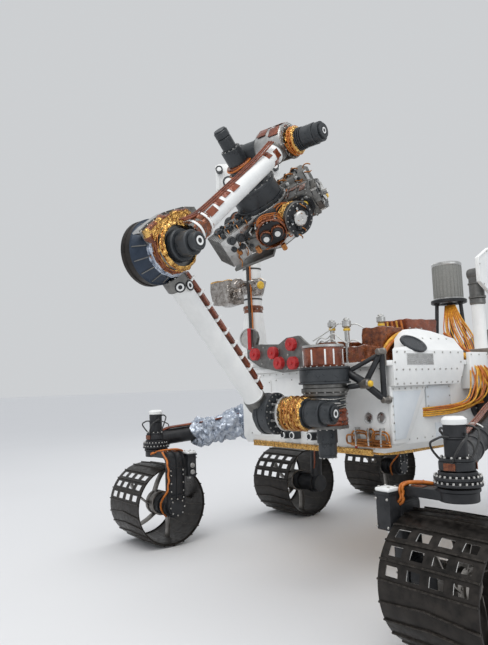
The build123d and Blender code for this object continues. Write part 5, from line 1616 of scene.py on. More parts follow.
# Tape on the cover's near end: reach, height, length and width
END_TAPE = ((-34, 50, 56, 48), (30, 58, 50, 44), (62, 8, 40, 50), (-62, 4, 40, 46), (0, 8, 44, 36))
TURRET_MOTOR = [
    (-222, -214, 33), (-214, -180, 38), (-180, -176, 35), (-176, -110, 38), (-110, -24, 54),
    (-24, 0, 70), (0, 96, 66), (96, 110, 70), (110, 126, 138), (126, 210, 130), (210, 229, 138)
]
wrist = turned("wrist_drive", hinge, SIDE, stepped(WRIST_DRIVE), 48)
dress(wrist, "arm_fore", "black_finish", SATIN_BLACK, HARDCOAT)
tint(wrist, 1, lambda place, normal: (place - hinge).dot(SIDE) > 0.064)
outline = arc(101, COVER_LOW, COVER_HIGH, 22) + arc(97, COVER_HIGH, COVER_LOW, 22)
cover = [plate("wrist_cover", outline, at_arm(*WRIST, 70), REACH, Z, 160, 0.8)]
for level in (70, 150, 222):
    outline = [(0, 0)] + arc(98, COVER_LOW, COVER_HIGH, 22)
    cover.append(plate("wrist_rib", outline, at_arm(*WRIST, level), REACH, Z, 8, 1.5))
group("wrist_covers", cover, "arm_fore", "bare_metal", ALUMINIUM)
squares = []
for angle, level, length, width in ROUND_TAPE:
    x, y = polar(101, angle)
    out = REACH * (x / 101) + Z * (y / 101)
    squares.append((at_arm(WRIST[0] + x, WRIST[1] + y, level), out, SIDE, length, width))
for x, y, length, width in END_TAPE:
    squares.append((at_arm(WRIST[0] + x, WRIST[1] + y, 70), -SIDE, REACH, length, width))
dress(patches("wrist_tape", squares), "arm_fore", "amber_film", BROWN_FILM)
wrapped("wrist_foil", hinge, SIDE, 20, 62, 60, "arm_fore", GOLD_FOIL, 9)
rounds = [coil("wrist_coil", hinge, SIDE, 26, 40, 72, 6, 1.3, 4)]
rounds.append(coil("wrist_coil", hinge, SIDE, 44, 58, 73, 6, 1.2, 4))
group("wrist_coils", rounds, "arm_fore", "amber_film", ORANGE_SHEATH)
ring_target("wrist_target", hinge - SIDE * 0.1305, -SIDE, 22, "arm_fore")
bolts = ring_of(16, 79, hinge + SIDE * 0.065, -SIDE)
bolts += [(at_arm(WRIST[0] + x, WRIST[1] + y, 70), -SIDE) for x, y in arc(91, -25, 135, 10)]
screws("wrist_bolts", bolts, 4, 4, "arm_fore")
steps = [(251, 266, 80), (266, 380, 74), (380, 400, 80)]
can = turned("wrist_output", hinge, SIDE, stepped(steps), 48)
dress(can, "arm_wrist", "black_finish", SATIN_BLACK)
centre = at_turret(0, 0, 0)
motor = turned("turret_motor", centre, TURRET_Z, stepped(TURRET_MOTOR), 56)
dress(motor, "arm_wrist", "black_finish", SATIN_BLACK, AMBER_FILM, stands_for=["turret_drive"])
tint(motor, 1, lambda place, normal: -0.025 < (place - centre).dot(TURRET_Z) < 0.001)
bolts = ring_of(20, 132, centre + TURRET_Z * 0.110, -TURRET_Z)
bolts += ring_of(12, 46, centre - TURRET_Z * 0.110, -TURRET_Z)
screws("turret_motor_bolts", bolts, 4, 4, "arm_wrist")
rounds = []
for start in (-20, 10, 40):
    rounds.append(coil("motor_coil", centre, TURRET_Z, start, start + 24, 76, 9, 1.4, 4))
group("motor_coils", rounds, "arm_wrist", "amber_film", ORANGE_SHEATH)

# turret


def tool_frame(angle, depth):
    """A turret tool's frame: its first way is along the axis, its third outwards at an angle."""
    out = between(TURRET_X, TURRET_Y, angle)
    return (at_turret(0, 0, depth), TURRET_Z, out.cross(TURRET_Z), out)


def tool_point(tool, along, across, out):
    """A place on a turret tool."""
    return tool[0] + (tool[1] * along + tool[2] * across + tool[3] * out) * MM


frame_plate = merged("turret_frame", "turret_plates", 2.0)
dress(frame_plate, "turret", "bare_metal", HARDCOAT, stands_for=["turret_frame"])
core = turned(
    "turret_core",
    centre,
    TURRET_Z,
    stepped([(230, 244, 150), (244, 262, 142), (262, 290, 112), (325, 440, 106), (440, 470, 112)]),
    52,
)
dress(core, "turret", "bare_metal", ALUMINIUM, SATIN_BLACK)
tint(core, 1, lambda place, way: 0.322 < (place - centre).dot(TURRET_Z) < 0.438)

# Drill with its eight-sided face, and the long housing over the turret's edge
DRILL_FACE = [(290, 298, 90), (298, 318, 84), (318, 326, 90), (326, 336, 46), (336, 356, 15)]
# Blocks on the drill's two long sides: place across it, foot, length and height
NEAR_BLOCKS = ((-78, 124, 40, 60), (-78, 178, 60, 50), (-78, 240, 90, 34), (-40, 118, 26, 40))
FAR_BLOCKS = ((72, 130, 60, 44), (72, 190, 90, 30), (72, 232, 40, 46))
PORTS = ((-38, 44), (-52, -20), (20, -54), (-16, 58))
DRILL_HALF = 79
BOLT_ROWS, BOLT_LEVELS = (-66, -22, 22, 66), (118, 156, 212, 268)
drill = tool_frame(-20, 322)
drill_out = drill[3]
housing = merged("turret_drill", "drill_housing", 2.5)
dress(housing, "turret", "bare_metal", HARDCOAT, stands_for=["turret_drill"])
face = turned("drill_face", drill[0], drill_out, stepped(DRILL_FACE), 8)
dress(face, "turret", "black_finish", BLACK, ALUMINIUM)
tint(face, 1, lambda place, way: (place - drill[0]).dot(drill_out) > 0.335)
profile = [(324, 0), (324, 22), (334, 22), (340, 17), (340, 0)]
cap = turned("drill_cap", tool_point(drill, 34, 44, 0), drill_out, profile, 28)
dress(cap, "turret", "white_paint", YELLOW_CAP)
profile = stepped([(74, 84, 72), (84, 90, 62)])
near_face = turned("drill_side_face", tool_point(drill, 0, 0, 214), -drill[2], profile, 8)
dress(near_face, "turret", "black_finish", BLACK)
profile = [(88, 0), (88, 19), (96, 19), (102, 14), (102, 0)]
side_cap = turned("drill_side_cap", tool_point(drill, -16, 0, 236), -drill[2], profile, 28)
dress(side_cap, "turret", "white_paint", YELLOW_CAP)
spot = (tool_point(drill, 0, -90, 206), drill[1], drill_out, -drill[2])
fittings("drill_fitting", spot, 96, 96, 14, "turret", 3)
rods, ribs, bright = [], [], []
for along, across in ((-60, -60), (60, -60), (-60, 60), (60, 60)):
    foot = tool_point(drill, along, across, 0)
    rods.append(turned("drill_rod", foot, drill_out, stepped([(116, 288, 9), (288, 324, 7)]), 20))
for across, out, length, high in NEAR_BLOCKS:
    low, top, half = across - 6, out + high, length / 2
    ribs.append(case("drill_block", (-half, low, out), (half, across + 4, top), 2, drill))
    corners = ((-half - 8, across - 9, out + 8), (-half + 8, across - 4, top - 8))
    bright.append(case("drill_lug", *corners, 1.5, drill))
for across, out, length, high in FAR_BLOCKS:
    top, half = out + high, length / 2
    ribs.append(case("drill_block", (-half, across, out), (half, across + 9, top), 2, drill))
    corners = ((half - 10, across + 4, out + 6), (half + 6, across + 11, top - 6))
    bright.append(case("drill_lug", *corners, 1.5, drill))
for out in (112, 150, 206, 262):
    low, high = (-DRILL_HALF, -DRILL_HALF, out), (DRILL_HALF, DRILL_HALF, out + 8)
    ribs.append(case("drill_band", low, high, 2, drill))
profile = [(324, 0), (324, 14), (330, 14), (330, 9), (326, 8), (326, 0)]
for along, across in PORTS:
    bright.append(turned("drill_port", tool_point(drill, along, across, 0), drill_out, profile, 24))
group("drill_rods", rods, "turret", "bare_metal", STEEL)
group("drill_blocks", ribs, "turret", "bare_metal", HARDCOAT)
group("drill_lugs", bright, "turret", "bare_metal", ALUMINIUM)
places = [(tool_point(drill, *polar(78, number * 45 + 22), 326), drill_out) for number in range(8)]
for side in (1, -1):
    for row in BOLT_ROWS:
        for out in BOLT_LEVELS:
            places.append((tool_point(drill, row, side * DRILL_HALF, out), drill[2] * side))
for side in (1, -1):
    for row in BOLT_ROWS:
        for out in BOLT_LEVELS:
            places.append((tool_point(drill, side * DRILL_HALF, row, out), drill[1] * side))
screws("drill_bolts", places, 4.5, 4, "turret")
squares = []
for along, out, length, width in ((40, 150, 40, 50), (50, 228, 50, 30), (-50, 214, 36, 24)):
    squares.append((tool_point(drill, along, -76, out), -drill[2], drill_out, length, width))
for across, out, length, width in ((-20, 140, 50, 60), (34, 190, 60, 34), (0, 244, 34, 70)):
    squares.append((tool_point(drill, -76, across, out), -drill[1], drill_out, length, width))
dress(patches("drill_tape", squares), "turret", "amber_film", AMBER_FILM)

# Sampler: a turned body with foil round it and a small bright sieve face in a dark ring
SAMPLER = [
    (100, 0), (100, 78), (124, 78), (128, 72), (166, 72), (170, 78), (196, 78), (200, 70),
    (236, 70), (240, 78), (262, 78), (262, 88), (286, 88), (290, 84), (290, 66), (284, 62),
    (284, 46), (290, 42), (290, 0)
]
SIEVE = [(286, 40), (300, 40), (304, 36), (306, 28), (307, 10), (304, 8), (304, 0)]
sampler = tool_frame(24, 322)
origin, sampler_out = sampler[0], sampler[3]


def along_sampler(place):
    """How far out a place of the sampler is."""
    return (place - origin).dot(sampler_out)


def from_sampler(place):
    """How far a place is from the sampler's axis."""
    return (place - origin - sampler_out * along_sampler(place)).length


drum = turned("sampler_body", origin, sampler_out, SAMPLER, 52)
dress(
    drum, "turret", "black_finish", BLACK, AMBER_FILM, HARDCOAT, stands_for=["turret_sampler"]
)
tint(
    drum,
    1,
    lambda place, _: 0.126 < along_sampler(place) < 0.168 or 0.198 < along_sampler(place) < 0.238,
)
tint(drum, 2, lambda place, _: 0.261 < along_sampler(place) < 0.289 and from_sampler(place) > 0.083)
dome = turned("sampler_dome", origin, sampler_out, SIEVE, 48)
dress(dome, "turret", "bare_metal", CUT_EDGE)
bolts = ring_of(16, 76, origin + sampler_out * 0.290, sampler_out)
screws("sampler_bolts", bolts, 4, 3.5, "turret")
wrapped("sampler_foil", origin, sampler_out, 198, 258, 74, "turret", GOLD_FOIL, 8)
rounds = [coil("sampler_coil", origin, sampler_out, 130, 160, 82, 8, 1.3)]
rounds.append(coil("sampler_coil", origin, sampler_out, 168, 196, 84, 7, 1.4))
spot = (origin + sampler_out * 0.288, sampler[1], sampler[2], sampler_out)
fittings("sampler_fitting", spot, 132, 132, 16, "turret", 5)
group("sampler_coils", rounds, "turret", "amber_film", ORANGE_SHEATH)

# Brush motors: a box with two round faces in an amber ring housing
BRUSH_RING = [(296, 26), (296, 34), (318, 34), (322, 31), (322, 26), (296, 26)]
BRUSH_FACE = [(298, 0), (298, 27), (338, 27), (344, 24), (344, 17), (342, 15), (342, 0)]
SHROUD = [(250, 62), (250, 76), (300, 78), (306, 74), (300, 70), (262, 66), (250, 62)]
brush = tool_frame(60, 300)
box = case("brush_box", (-59, -48, 100), (59, 76, 300), 4, brush)
dress(box, "turret", "black_finish", BLACK)
rings, faces, shrouds = [], [], []
for across in (-16, 48):
    spot = tool_point(brush, 0, across, 0)
    rings.append(turned("brush_ring", spot, brush[3], BRUSH_RING, 36))
    faces.append(turned("brush_face", spot, brush[3], BRUSH_FACE, 36))
group("brush_rings", rings, "turret", "amber_film", AMBER_FILM)
pair = group("brush_faces", faces, "turret", "black_finish", BLACK, WHITE_PAINT)
tint(pair, 1, lambda place, way: 0.3415 < (place - brush[0]).dot(brush[3]) < 0.3425)
for across in range(-50, 61, 22):
    shrouds.append(case("brush_rib", (-64, across, 236), (-58, across + 10, 296), 1.5, brush))
    shrouds.append(case("brush_rib", (58, across, 180), (64, across + 10, 270), 1.5, brush))
group("brush_ribs", shrouds, "turret", "bare_metal", ALUMINIUM)
middle = tool_point(brush, 0, 16, 0)
shroud = turned("brush_shroud", middle, brush[3], SHROUD, 40)
crumple(shroud, 2, 8.0, 26)
dress(shroud, "turret", "amber_film", AMBER_FILM)
rounds = []
for start in (200, 226, 252):
    rounds.append(coil("brush_coil", middle, brush[3], start, start + 22, 80, 8, 1.2))
group("brush_coils", rounds, "turret", "amber_film", ORANGE_SHEATH)

# Sensors on the far side: a slotted box and two round heads
sensors = merged("turret_sensors", "sensor_housings", 2.0)
dress(sensors, "turret", "bare_metal", ALUMINIUM, stands_for=["turret_sensors"])
# Round heads: name, angle and drums
SENSOR_HEADS = (
    ("sensor_head", 188, [(105, 160, 70), (160, 250, 66), (250, 262, 70), (262, 330, 48)]),
    ("close_camera", 235, [(105, 140, 58), (140, 220, 52), (220, 230, 56), (230, 300, 40)]),
)
for name, angle, steps in SENSOR_HEADS:
    tool = tool_frame(angle, 330)
    head = turned(name, tool[0], tool[3], stepped(steps), 44)
    dress(head, "turret", "black_finish", BLACK, AMBER_FILM)
    tint(head, 1, lambda place, way: 0.16 < (place - tool[0]).dot(tool[3]) < 0.219)
    end = steps[-1][1]
    glass = turned(
        f"{name}_window",
        tool[0],
        tool[3],
        [(end, 0), (end, 30), (end + 4, 30), (end + 4, 22), (end + 1, 20), (end + 1, 0)],
        32,
    )
    dress(glass, "turret", "black_finish", GLASS)
slots = tool_frame(122, 318)
ribs = []
for across in range(-84, 85, 21):
    low, high = (-80, across - 2.5, 110), (80, across + 2.5, 346)
    ribs.append(case("sensor_rib", low, high, 1, slots))
group("sensor_ribs", ribs, "turret", "bare_metal", HARDCOAT)

# Long housing: screws and tie blocks along it, and cans on it
long_way = between(TURRET_X, TURRET_Y, -52)
side_way = TURRET_Z.cross(long_way)
beam = (at_turret(-6, -176, 0), long_way, side_way, TURRET_Z)
blocks, places = [], []
for along in range(-186, 187, 62):
    blocks.append(case("beam_block", (along - 10, -58, 240), (along + 10, 58, 360), 2, beam))
    for across in (-44, 44):
        places.append((tool_point(beam, along, across, 234), TURRET_Z * -1))
        places.append((tool_point(beam, along + 24, across, 366), TURRET_Z))
group("beam_blocks", blocks, "turret", "bare_metal", ALUMINIUM)
screws("beam_screws", places, 4.5, 4, "turret")
# Cans on the long housing: place along it, radius, foot and top
BEAM_CANS = ((-150, 26, 366, 430), (-80, 20, 366, 420), (120, 24, 366, 440))
cans = []
for along, radius, low, high in BEAM_CANS:
    origin = beam[0] + long_way * along * MM
    cans.append(
        turned(
            "beam_can",
            origin,
            TURRET_Z,
            stepped([(low, low + 12, radius + 5), (low + 12, high, radius)]),
            32,
        )
    )
group("beam_cans", cans, "turret", "black_finish", SATIN_BLACK)

# Connector plate, harness loops and small orange and copper fittings between the tools
# Boxes between the tools: angle, depth, foot, top, half length and half width
TURRET_BOXES = (
    (85, 352, 120, 240, 40, 46), (-62, 300, 118, 226, 44, 40), (160, 300, 110, 236, 36, 50),
    (210, 280, 112, 190, 30, 40), (-95, 330, 118, 210, 40, 44)
)
boxes = []
for angle, depth, low, high, half, wide in TURRET_BOXES:
    boxes.append(
        case("turret_box", (-half, -wide, low), (half, wide, high), 3, tool_frame(angle, depth))
    )
for item, angle in zip(boxes, (85, -62, 160)):
    recess(item, tool_frame(angle, 0)[3], 6, 2)
group("turret_boxes", boxes, "turret", "bare_metal", HARDCOAT)
loops = []
for number in range(12):
    reach = 128 + (number * 37) % 40
    points = []
    for i in range(6):
        x, y = polar(reach + 26 * math.sin(i * 1.9 + number), number * 30 + 8 + i * 22)
        points.append(at_turret(x, y, 244 + (number % 4) * 12 + 9 * math.sin(i * 2.3 + number)))
    loops.append(cable("turret_lead", points, 7 + number % 4))
for number in range(8):
    x, y = polar(150, number * 45 + 20)
    far_x, far_y = polar(196, number * 45 + 38)
    points = [at_turret(x * 0.8, y * 0.8, 410), at_turret(x, y, 428)]
    for share, depth in ((1, 420), (1.08, 380), (1.04, 350)):
        points.append(at_turret(far_x * share, far_y * share, depth))
    loops.append(cable("tool_lead", points, 8))
group("turret_leads", loops, "turret", "amber_film", ORANGE_SHEATH)
TOOL_CAPS = ((-68, 281, 345), (72, 296, 350), (150, 200, 420), (-150, 60, 486), (40, -150, 402))
caps = []
for x, y, t in TOOL_CAPS:
    profile = [(-18, 0), (-18, 14), (14, 14), (18, 10), (18, 0)]
    caps.append(turned("tool_cap", at_turret(x, y, t), TURRET_Z, profile, 24))
group("tool_caps", caps, "turret", "amber_film", COPPER)
places = ring_of(24, 214, at_turret(0, 0, 318), TURRET_Z)
places += [(point, -way) for point, way in ring_of(24, 214, at_turret(0, 0, 296), TURRET_Z)]
places += ring_of(16, 98, at_turret(0, 0, 470), TURRET_Z)
places += ring_of(20, 143, at_turret(0, 0, 230), TURRET_Z * -1)
screws("turret_screws", places, 4, 4, "turret")
# Machined pads, ribs and connectors over both faces of the hexagonal plate
pads, plugs = [], []
for number in range(18):
    angle = number * 20 + 6
    reach = (178, 206, 232)[number % 3]
    x, y = polar(reach, angle)
    way = between(TURRET_X, TURRET_Y, angle)
    spot = (at_turret(x, y, 0), way, TURRET_Z.cross(way), TURRET_Z)
    half = 10 + (number * 7) % 13
    low, high = (-half, -half - 6, 316), (half, half + 6, 326 + (number * 5) % 14)
    pads.append(case("plate_pad", low, high, 1.5, spot))
    low = (-22, -5, 284 - (number * 3) % 14)
    pads.append(case("plate_rib", low, (22, 5, 297), 1.5, spot))
    if number % 2:
        profile = stepped([(256 + (number * 3) % 12, 274, 11), (274, 297, 15)], 1.0)
        plugs.append(turned("plate_plug", at_turret(x, y, 0), TURRET_Z, profile, 20))
group("plate_pads", pads, "turret", "bare_metal", ALUMINIUM)
group("plate_plugs", plugs, "turret", "black_finish", SATIN_BLACK)
wraps = []
for angle in (40, 128, 205, 300):
    wraps.append((at_turret(*polar(196, angle), 319), TURRET_Z, TURRET_X, 40, 30))
for angle in (14, 96, 171, 262, 338):
    wraps.append((at_turret(*polar(204, angle), 295), TURRET_Z * -1, TURRET_X, 44, 26))
dress(patches("plate_tape", wraps), "turret", "amber_film", AMBER_FILM)

# Fittings over the sensor box, the long housing and the edges of the plate
SENSOR_SPOTS = (
    # name, place, ways across, up and out, width, order
    ("sensor_fitting", (0, 95, 224), (slots[1], slots[3], slots[2]), 120, 26, 1),
    ("sensor_far_fitting", (0, -95, 224), (slots[1], slots[3], -slots[2]), 120, 26, 8),
    ("sensor_side_fitting", (-78, 0, 224), (slots[2], slots[3], -slots[1]), 150, 30, 2),
)
for name, place, ways, width, count, turn in SENSOR_SPOTS:
    fittings(name, (tool_point(slots, *place), *ways), width, 190, count, "turret", turn, 1.9)
spot = (beam[0] + TURRET_Z * 0.234, long_way, side_way, -TURRET_Z)
fittings("beam_fitting", spot, 400, 86, 34, "turret", 4)
spot = (beam[0] + TURRET_Z * 0.300 + side_way * 0.052, long_way, TURRET_Z, side_way)
fittings("beam_side_fitting", spot, 400, 110, 30, "turret", 6)
spot = (beam[0] + TURRET_Z * 0.300 - side_way * 0.052, long_way, TURRET_Z, -side_way)
fittings("beam_near_fitting", spot, 400, 110, 30, "turret", 7)

# mast and head

MAST_TUBE = [
    (1112, 0), (1112, 98), (1116, 101), (1130, 99), (1300, 80), (1470, 62), (1490, 60), (1496, 66),
    (1512, 66), (1518, 59), (1960, 59), (1966, 66), (1996, 66), (2000, 62), (2000, 0)
]
MAST_FOOT = [
    (-225, -44), (-165, -104), (45, -104), (105, -44), (105, 184), (45, 244), (-165, 244),
    (-225, 184)
]
MAST_LEAD = [
    (524, -520, 1130), (536, -512, 1240), (528, -516, 1400), (522, -528, 1520), (524, -532, 1700),
    (524, -532, 1860), (520, -536, 1960), (500, -540, 1985)
]
mast = turned("mast_tube", MAST, Z, MAST_TUBE, 56)
dress(mast, "chassis", "white_paint", WHITE_PAINT, AMBER_FILM, HARDCOAT, stands_for=["mast"])
tint(mast, 1, lambda place, way: 1.470 < place.z < 1.516)
tint(mast, 2, lambda place, way: place.z > 1.962)
foot = plate("mast_foot", MAST_FOOT, MAST + Z * 1.1, X, Y, 12, 2.0)
dress(foot, "chassis", "white_paint", WHITE_PAINT)
bolts = ring_of(16, 112, MAST + Z * 1.112, Z) + ring_of(12, 62.5, MAST + Z * 1.496, -Z)
screws("mast_bolts", bolts, 5, 5, "chassis")
lead = cable("mast_lead", route(MAST_LEAD), 20)
dress(lead, "chassis", "black_finish", BLACK_SHEATH)
lead = cable("mast_lead_thin", [mm(x - 6, y + 18, z) for x, y, z in MAST_LEAD], 10)
dress(lead, "chassis", "amber_film", ORANGE_SHEATH)
straps = []
for height in (1560, 1760, 1840, 1920):
    straps.append(turned("mast_strap", MAST + Z * height * MM, Z, band(5, 58, 61), 44))
group("mast_straps", straps, "chassis", "black_finish", BLACK_SHEATH)

booms = merged("mast_booms", "boom_foil", 6.0, segments=3)
crumple(booms, 2, 34.0, 120)
dress(booms, "chassis", "gold_film", SILVER_FOIL, GOLD_FOIL, stands_for=["mast_booms"])
tint(booms, 1, lambda place, way: place.z > 1.690)
profile = [(60, 0), (60, 26), (84, 26), (90, 20), (90, 0)]
cap = turned("boom_cap", mm(466, -553, 1646), Y, profile, 32)
dress(cap, "chassis", "white_paint", YELLOW_CAP)

neck = merged("mast_neck", "head_neck", 2.0)
dress(neck, "head_pan", "black_finish", HARDCOAT, stands_for=["mast_neck"])
head = merged("mast_head", "camera_head", 3.0)
recess(head, HEAD_Y, 16, 3)
recess(head, HEAD_Y * -1, 16, 3)
dress(head, "head_tilt", "white_paint", WHITE_PAINT, stands_for=["mast_head"])
# Lens barrels: place to port, height, radius and length
HEAD_BARRELS = (
    (0, 150, 58, 30), (-122, 84, 34, 62), (122, 84, 30, 62), (-182, 180, 20, 36), (182, 180, 20, 36)
)
barrels = []
for left, height, radius, length in HEAD_BARRELS:
    origin = at_head(HEAD_FRONT, left, height)
    profile = [(0, 0), (0, radius + 3), (length, radius + 3), (length, radius * 0.78)]
    profile += [(length * 0.5, radius * 0.66), (length * 0.5, radius * 0.6), (length * 0.56, 0)]
    barrel = turned("head_barrel", origin, HEAD_X, profile, 40)
    barrel.data.materials.append(SATIN_BLACK)
    barrel.data.materials.append(GLASS)
    for face in barrel.data.polygons:
        depth = (face.center - origin).dot(HEAD_X)
        from_axis = (face.center - origin - HEAD_X * depth).length
        if depth > length * 0.5 * MM and from_axis < radius * 0.62 * MM:
            face.material_index = 1
    barrels.append(barrel)
lenses = joined("head_lenses", barrels)
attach(lenses, "head_tilt")
head_bolts = [(at_head(HEAD_FRONT, y, z), HEAD_X) for y in (-196, -66, 66, 196) for z in (52, 212)]
for side in (1, -1):
    for x in (-96, 0, 96):
        head_bolts += [(at_head(x, side * 210, z), HEAD_Y * side) for z in (54, 212)]
screws("head_screws", head_bolts, 4.5, 3.5, "head_tilt")

# antennas, differential and power source

TOWER = mm(-838, 30, 0)
TOWER_RING = [
    (1530, 60), (1530, 118), (1534, 122), (1552, 122), (1556, 118), (1556, 60), (1530, 60)
]
TOWER_FOOT = [(DECK_Z, 0), (DECK_Z, 150), (1112, 150), (1116, 144), (1116, 0)]
RELAY_DRUM = [
    (1556, 0), (1556, 104), (1564, 104), (1568, 99), (1796, 99), (1800, 103), (1812, 103),
    (1820, 96), (1820, 0)
]
tower = [turned("tower_ring", TOWER, Z, TOWER_RING, 52)]
tower.append(turned("tower_foot", TOWER, Z, TOWER_FOOT, 52))
for angle in (90, 210, 330):
    foot = TOWER + Vector((*polar(120, angle), 1108)) * MM
    top = TOWER + Vector((*polar(90, angle), 1536)) * MM
    length = (top - foot).length / MM
    profile = [(0, 0), (0, 20), (14, 20), (22, 13), (length - 22, 13)]
    profile += [(length - 14, 20), (length, 20), (length, 0)]
    tower.append(turned("tower_leg", foot, top - foot, profile, 28))
group("tower_struts", tower, "chassis", "black_finish", BLACK, stands_for=["relay_tower"])
antenna = turned("relay_drum", TOWER, Z, RELAY_DRUM, 72)
dress(antenna, "chassis", "grey_paint", GREY_PAINT, ALUMINIUM, stands_for=["relay_antenna"])
tint(antenna, 1, lambda place, way: place.z > 1.797 or place.z < 1.567)
ribs = []
for number in range(24):
    angle = number * math.radians(15)
    out = Vector((math.cos(angle), math.sin(angle), 0))
    spot = (TOWER, out.cross(Z), out, Z)
    ribs.append(case("drum_rib", (-1.5, 97, 1570), (1.5, 101.5, 1794), 0.5, spot))
group("relay_ribs", ribs, "chassis", "grey_paint", GREY_PAINT)

DISH = mm(-588, 400, 0)
DISH_COLUMN = [
    (DECK_Z, 0), (DECK_Z, 80), (1116, 80), (1120, 76), (1126, 46), (1140, 40), (1460, 40),
    (1468, 48), (1496, 48), (1500, 44), (1500, 0)
]
GIMBAL = [(1501, 1516, 52), (1516, 1590, 46), (1590, 1600, 52)]
DISH_MOTOR = [(-46, -36, 34), (-36, 36, 38), (36, 46, 34)]
dish_hinge = DISH + Z * 1.660
column = turned("dish_column", DISH, Z, DISH_COLUMN, 40)
dress(column, "chassis", "white_paint", WHITE_PAINT, HARDCOAT, stands_for=["dish_base"])
tint(column, 1, lambda place, way: place.z > 1.462)
gimbal = turned("dish_gimbal", DISH, Z, stepped(GIMBAL), 44)
ears = case("dish_bracket", (-30, -36, 1598), (30, 36, 1640), 3, (DISH, X, Y, Z))
elevation = turned("dish_motor", dish_hinge, Y, stepped(DISH_MOTOR), 44)
drives = joined("dish_drives", [gimbal, ears, elevation])
dress(drives, "dish_azimuth", "black_finish", HARDCOAT, stands_for=["dish_yoke"])
panel = merged("dish_panel", "dish_hexagon", 3.0)
recess(panel, Y, 8, 3)
dress(panel, "dish_elevation", "white_paint", WHITE_PAINT, stands_for=["dish_panel"])
screws("dish_screws", ring_of(6, 126, dish_hinge + Y * 0.106, Y, 0.52), 5, 3, "dish_elevation")

beam = merged("differential", "differential_beam", 3.0)
dress(beam, "chassis", "titanium", TITANIUM, stands_for=["differential"])
steps = [(DECK_Z, 1112, 64), (1112, 1166, 50), (1166, 1182, 40)]
pivot = turned("differential_pivot", mm(-278, 0, 0), Z, stepped(steps), 44)
dress(pivot, "chassis", "black_finish", BLACK)
bolts = ring_of(12, 57, mm(-278, 0, 1112), Z)
bolts += [(mm(-278, side * y, 1166), Z) for side in (1, -1) for y in (120, 300, 480, 640)]
screws("differential_bolts", bolts, 5, 5, "chassis")

POWER = mm(-1102, 0, 900)
POWER_WAY = between(-X, Z, 24)
POWER_UP = Y.cross(POWER_WAY)
POWER_CAN = [
    (0, 0), (0, 130), (8, 136), (632, 136), (640, 130), (640, 96), (650, 90), (658, 90), (662, 84),
    (662, 0)
]
POWER_FIN = [(120, 94), (300, 94), (318, 110), (318, 590), (300, 606), (120, 606)]
can = turned("power_can", POWER, POWER_WAY, POWER_CAN, 60)
dress(can, "chassis", "grey_paint", HARDCOAT, stands_for=["power_source"])
fins = []
for number in range(8):
    out = between(Y, POWER_UP, 45 * number)
    across = out.cross(POWER_WAY)
    foot = POWER - across * 5 * MM
    fins.append(plate("power_fin", POWER_FIN, foot, out, POWER_WAY, 10, 2.5))
group("power_fins", fins, "chassis", "grey_paint", HARDCOAT)
shields = merged("heat_plates", "heat_shields", 3.0)
dress(shields, "chassis", "white_paint", WHITE_PAINT, stands_for=["heat_plates"])
# Bolts of a heat plate: distance behind the body and height
SHIELD_BOLTS = (
    (30, 730), (30, 1020), (200, 770), (300, 1180), (400, 830), (520, 1290), (600, 1130),
    (180, 1110)
)
tubes, shield_bolts = [], []
for side in (1, -1):
    for step in range(6):
        x = -1120 - step * 72
        points = [(x, side * 398, 760 + step * 16), (x - 6, side * 392, 800 + step * 12)]
        points += [(x - 14, side * 392, 980 + step * 10), (x - 20, side * 398, 1040 + step * 22)]
        tubes.append(cable("shield_pipe", route(points), 10))
    shield_bolts += [(mm(TAIL_X - x, side * 416, z), Y * side) for x, z in SHIELD_BOLTS]
group("shield_pipes", tubes, "chassis", "amber_film", COPPER)
screws("shield_screws", shield_bolts, 6, 4, "chassis")
mount = merged("power_mount", "power_bracket", 3.0)
dress(mount, "chassis", "bare_metal", ALUMINIUM, stands_for=["power_mount"])

# camera, light and floor

EYE = Vector((2.8357, 2.4454, 1.0008))
YAW, PITCH, ROLL = -2.2218933, 0.1076851, -0.0359917
FOCAL_PIXELS, PHOTO_HEIGHT, SENSOR = 589.195, 645.0, 36.0
ahead = Vector((math.cos(PITCH) * math.cos(YAW), math.cos(PITCH) * math.sin(YAW), math.sin(PITCH)))
level = Vector((math.sin(YAW), -math.cos(YAW), 0))
over = level.cross(ahead)
across = level * math.cos(ROLL) + over * math.sin(ROLL)
upright = over * math.cos(ROLL) - level * math.sin(ROLL)
lens = bpy.data.cameras.new("camera")
lens.sensor_width = SENSOR
lens.lens = SENSOR * FOCAL_PIXELS / PHOTO_HEIGHT
camera = shown("camera", lens)
camera.matrix_world = Matrix.Translation(EYE) @ Matrix(
    (across, upright, -ahead)
).transposed().to_4x4()
bpy.context.scene.camera = camera

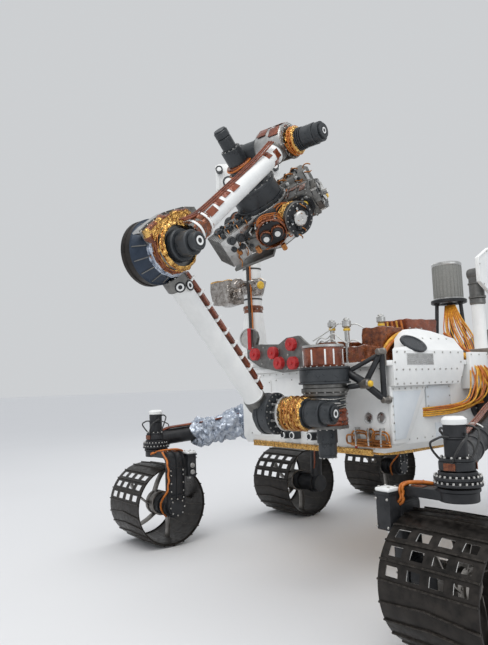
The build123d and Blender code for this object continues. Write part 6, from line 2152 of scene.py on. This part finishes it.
FLOOR_TONE = 0.67
bpy.ops.object.select_all(action="DESELECT")
bpy.ops.mesh.primitive_plane_add(size=400, location=(0, 0, 0))
floor = bpy.context.object
floor.name = "floor"
sweep = Finish("pale_floor", 0.75)
sweep.mottle([FLOOR_TONE * 0.97] * 3, [FLOOR_TONE] * 3, 1250, 1.0, 2.0, 0.5)
floor.data.materials.append(sweep.material)
floor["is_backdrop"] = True


def lamp(name, place, target, size, watts, tone):
    """A soft lamp that looks at a point."""
    light = bpy.data.lights.new(name, "AREA")
    light.size = size
    light.energy = watts
    light.color = tone
    holder = shown(name, light)
    way = Vector(target) - Vector(place)
    holder.matrix_world = Matrix.Translation(place) @ way.to_track_quat(
        "-Z", "Y"
    ).to_matrix().to_4x4()


lamp("key", (3.5, 1.5, 6.5), (0.0, 0.0, 0.9), 4.0, 195, (1.0, 0.98, 0.95))
lamp("fill", (0.5, 7.0, 4.0), (0.0, 0.0, 1.0), 5.0, 75, (0.96, 0.98, 1.0))
lamp("far_side", (-5.0, -4.0, 6.0), (0.0, 0.0, 1.0), 5.0, 100, (1.0, 0.99, 0.97))

world = bpy.data.worlds.new("studio")
bpy.context.scene.world = world
world.use_nodes = True
air, joins = world.node_tree.nodes, world.node_tree.links
soft = air["Background"]
soft.inputs["Color"].default_value = (0.92, 0.95, 1.0, 1)
soft.inputs["Strength"].default_value = 0.95
pure = air.new("ShaderNodeBackground")
pure.inputs["Color"].default_value = (0.61, 0.625, 0.64, 1)
pure.inputs["Strength"].default_value = 1.0
path = air.new("ShaderNodeLightPath")
seen = path.outputs["Is Camera Ray"]
for ray in ("Is Glossy Ray", "Is Transmission Ray"):
    either = air.new("ShaderNodeMath")
    either.operation = "MAXIMUM"
    joins.new(seen, either.inputs[0])
    joins.new(path.outputs[ray], either.inputs[1])
    seen = either.outputs[0]
mix = air.new("ShaderNodeMixShader")
joins.new(seen, mix.inputs["Fac"])
joins.new(soft.outputs["Background"], mix.inputs[1])
joins.new(pure.outputs["Background"], mix.inputs[2])
joins.new(mix.outputs["Shader"], air["World Output"].inputs["Surface"])
bpy.context.scene.view_settings.view_transform = "Standard"

low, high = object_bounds()
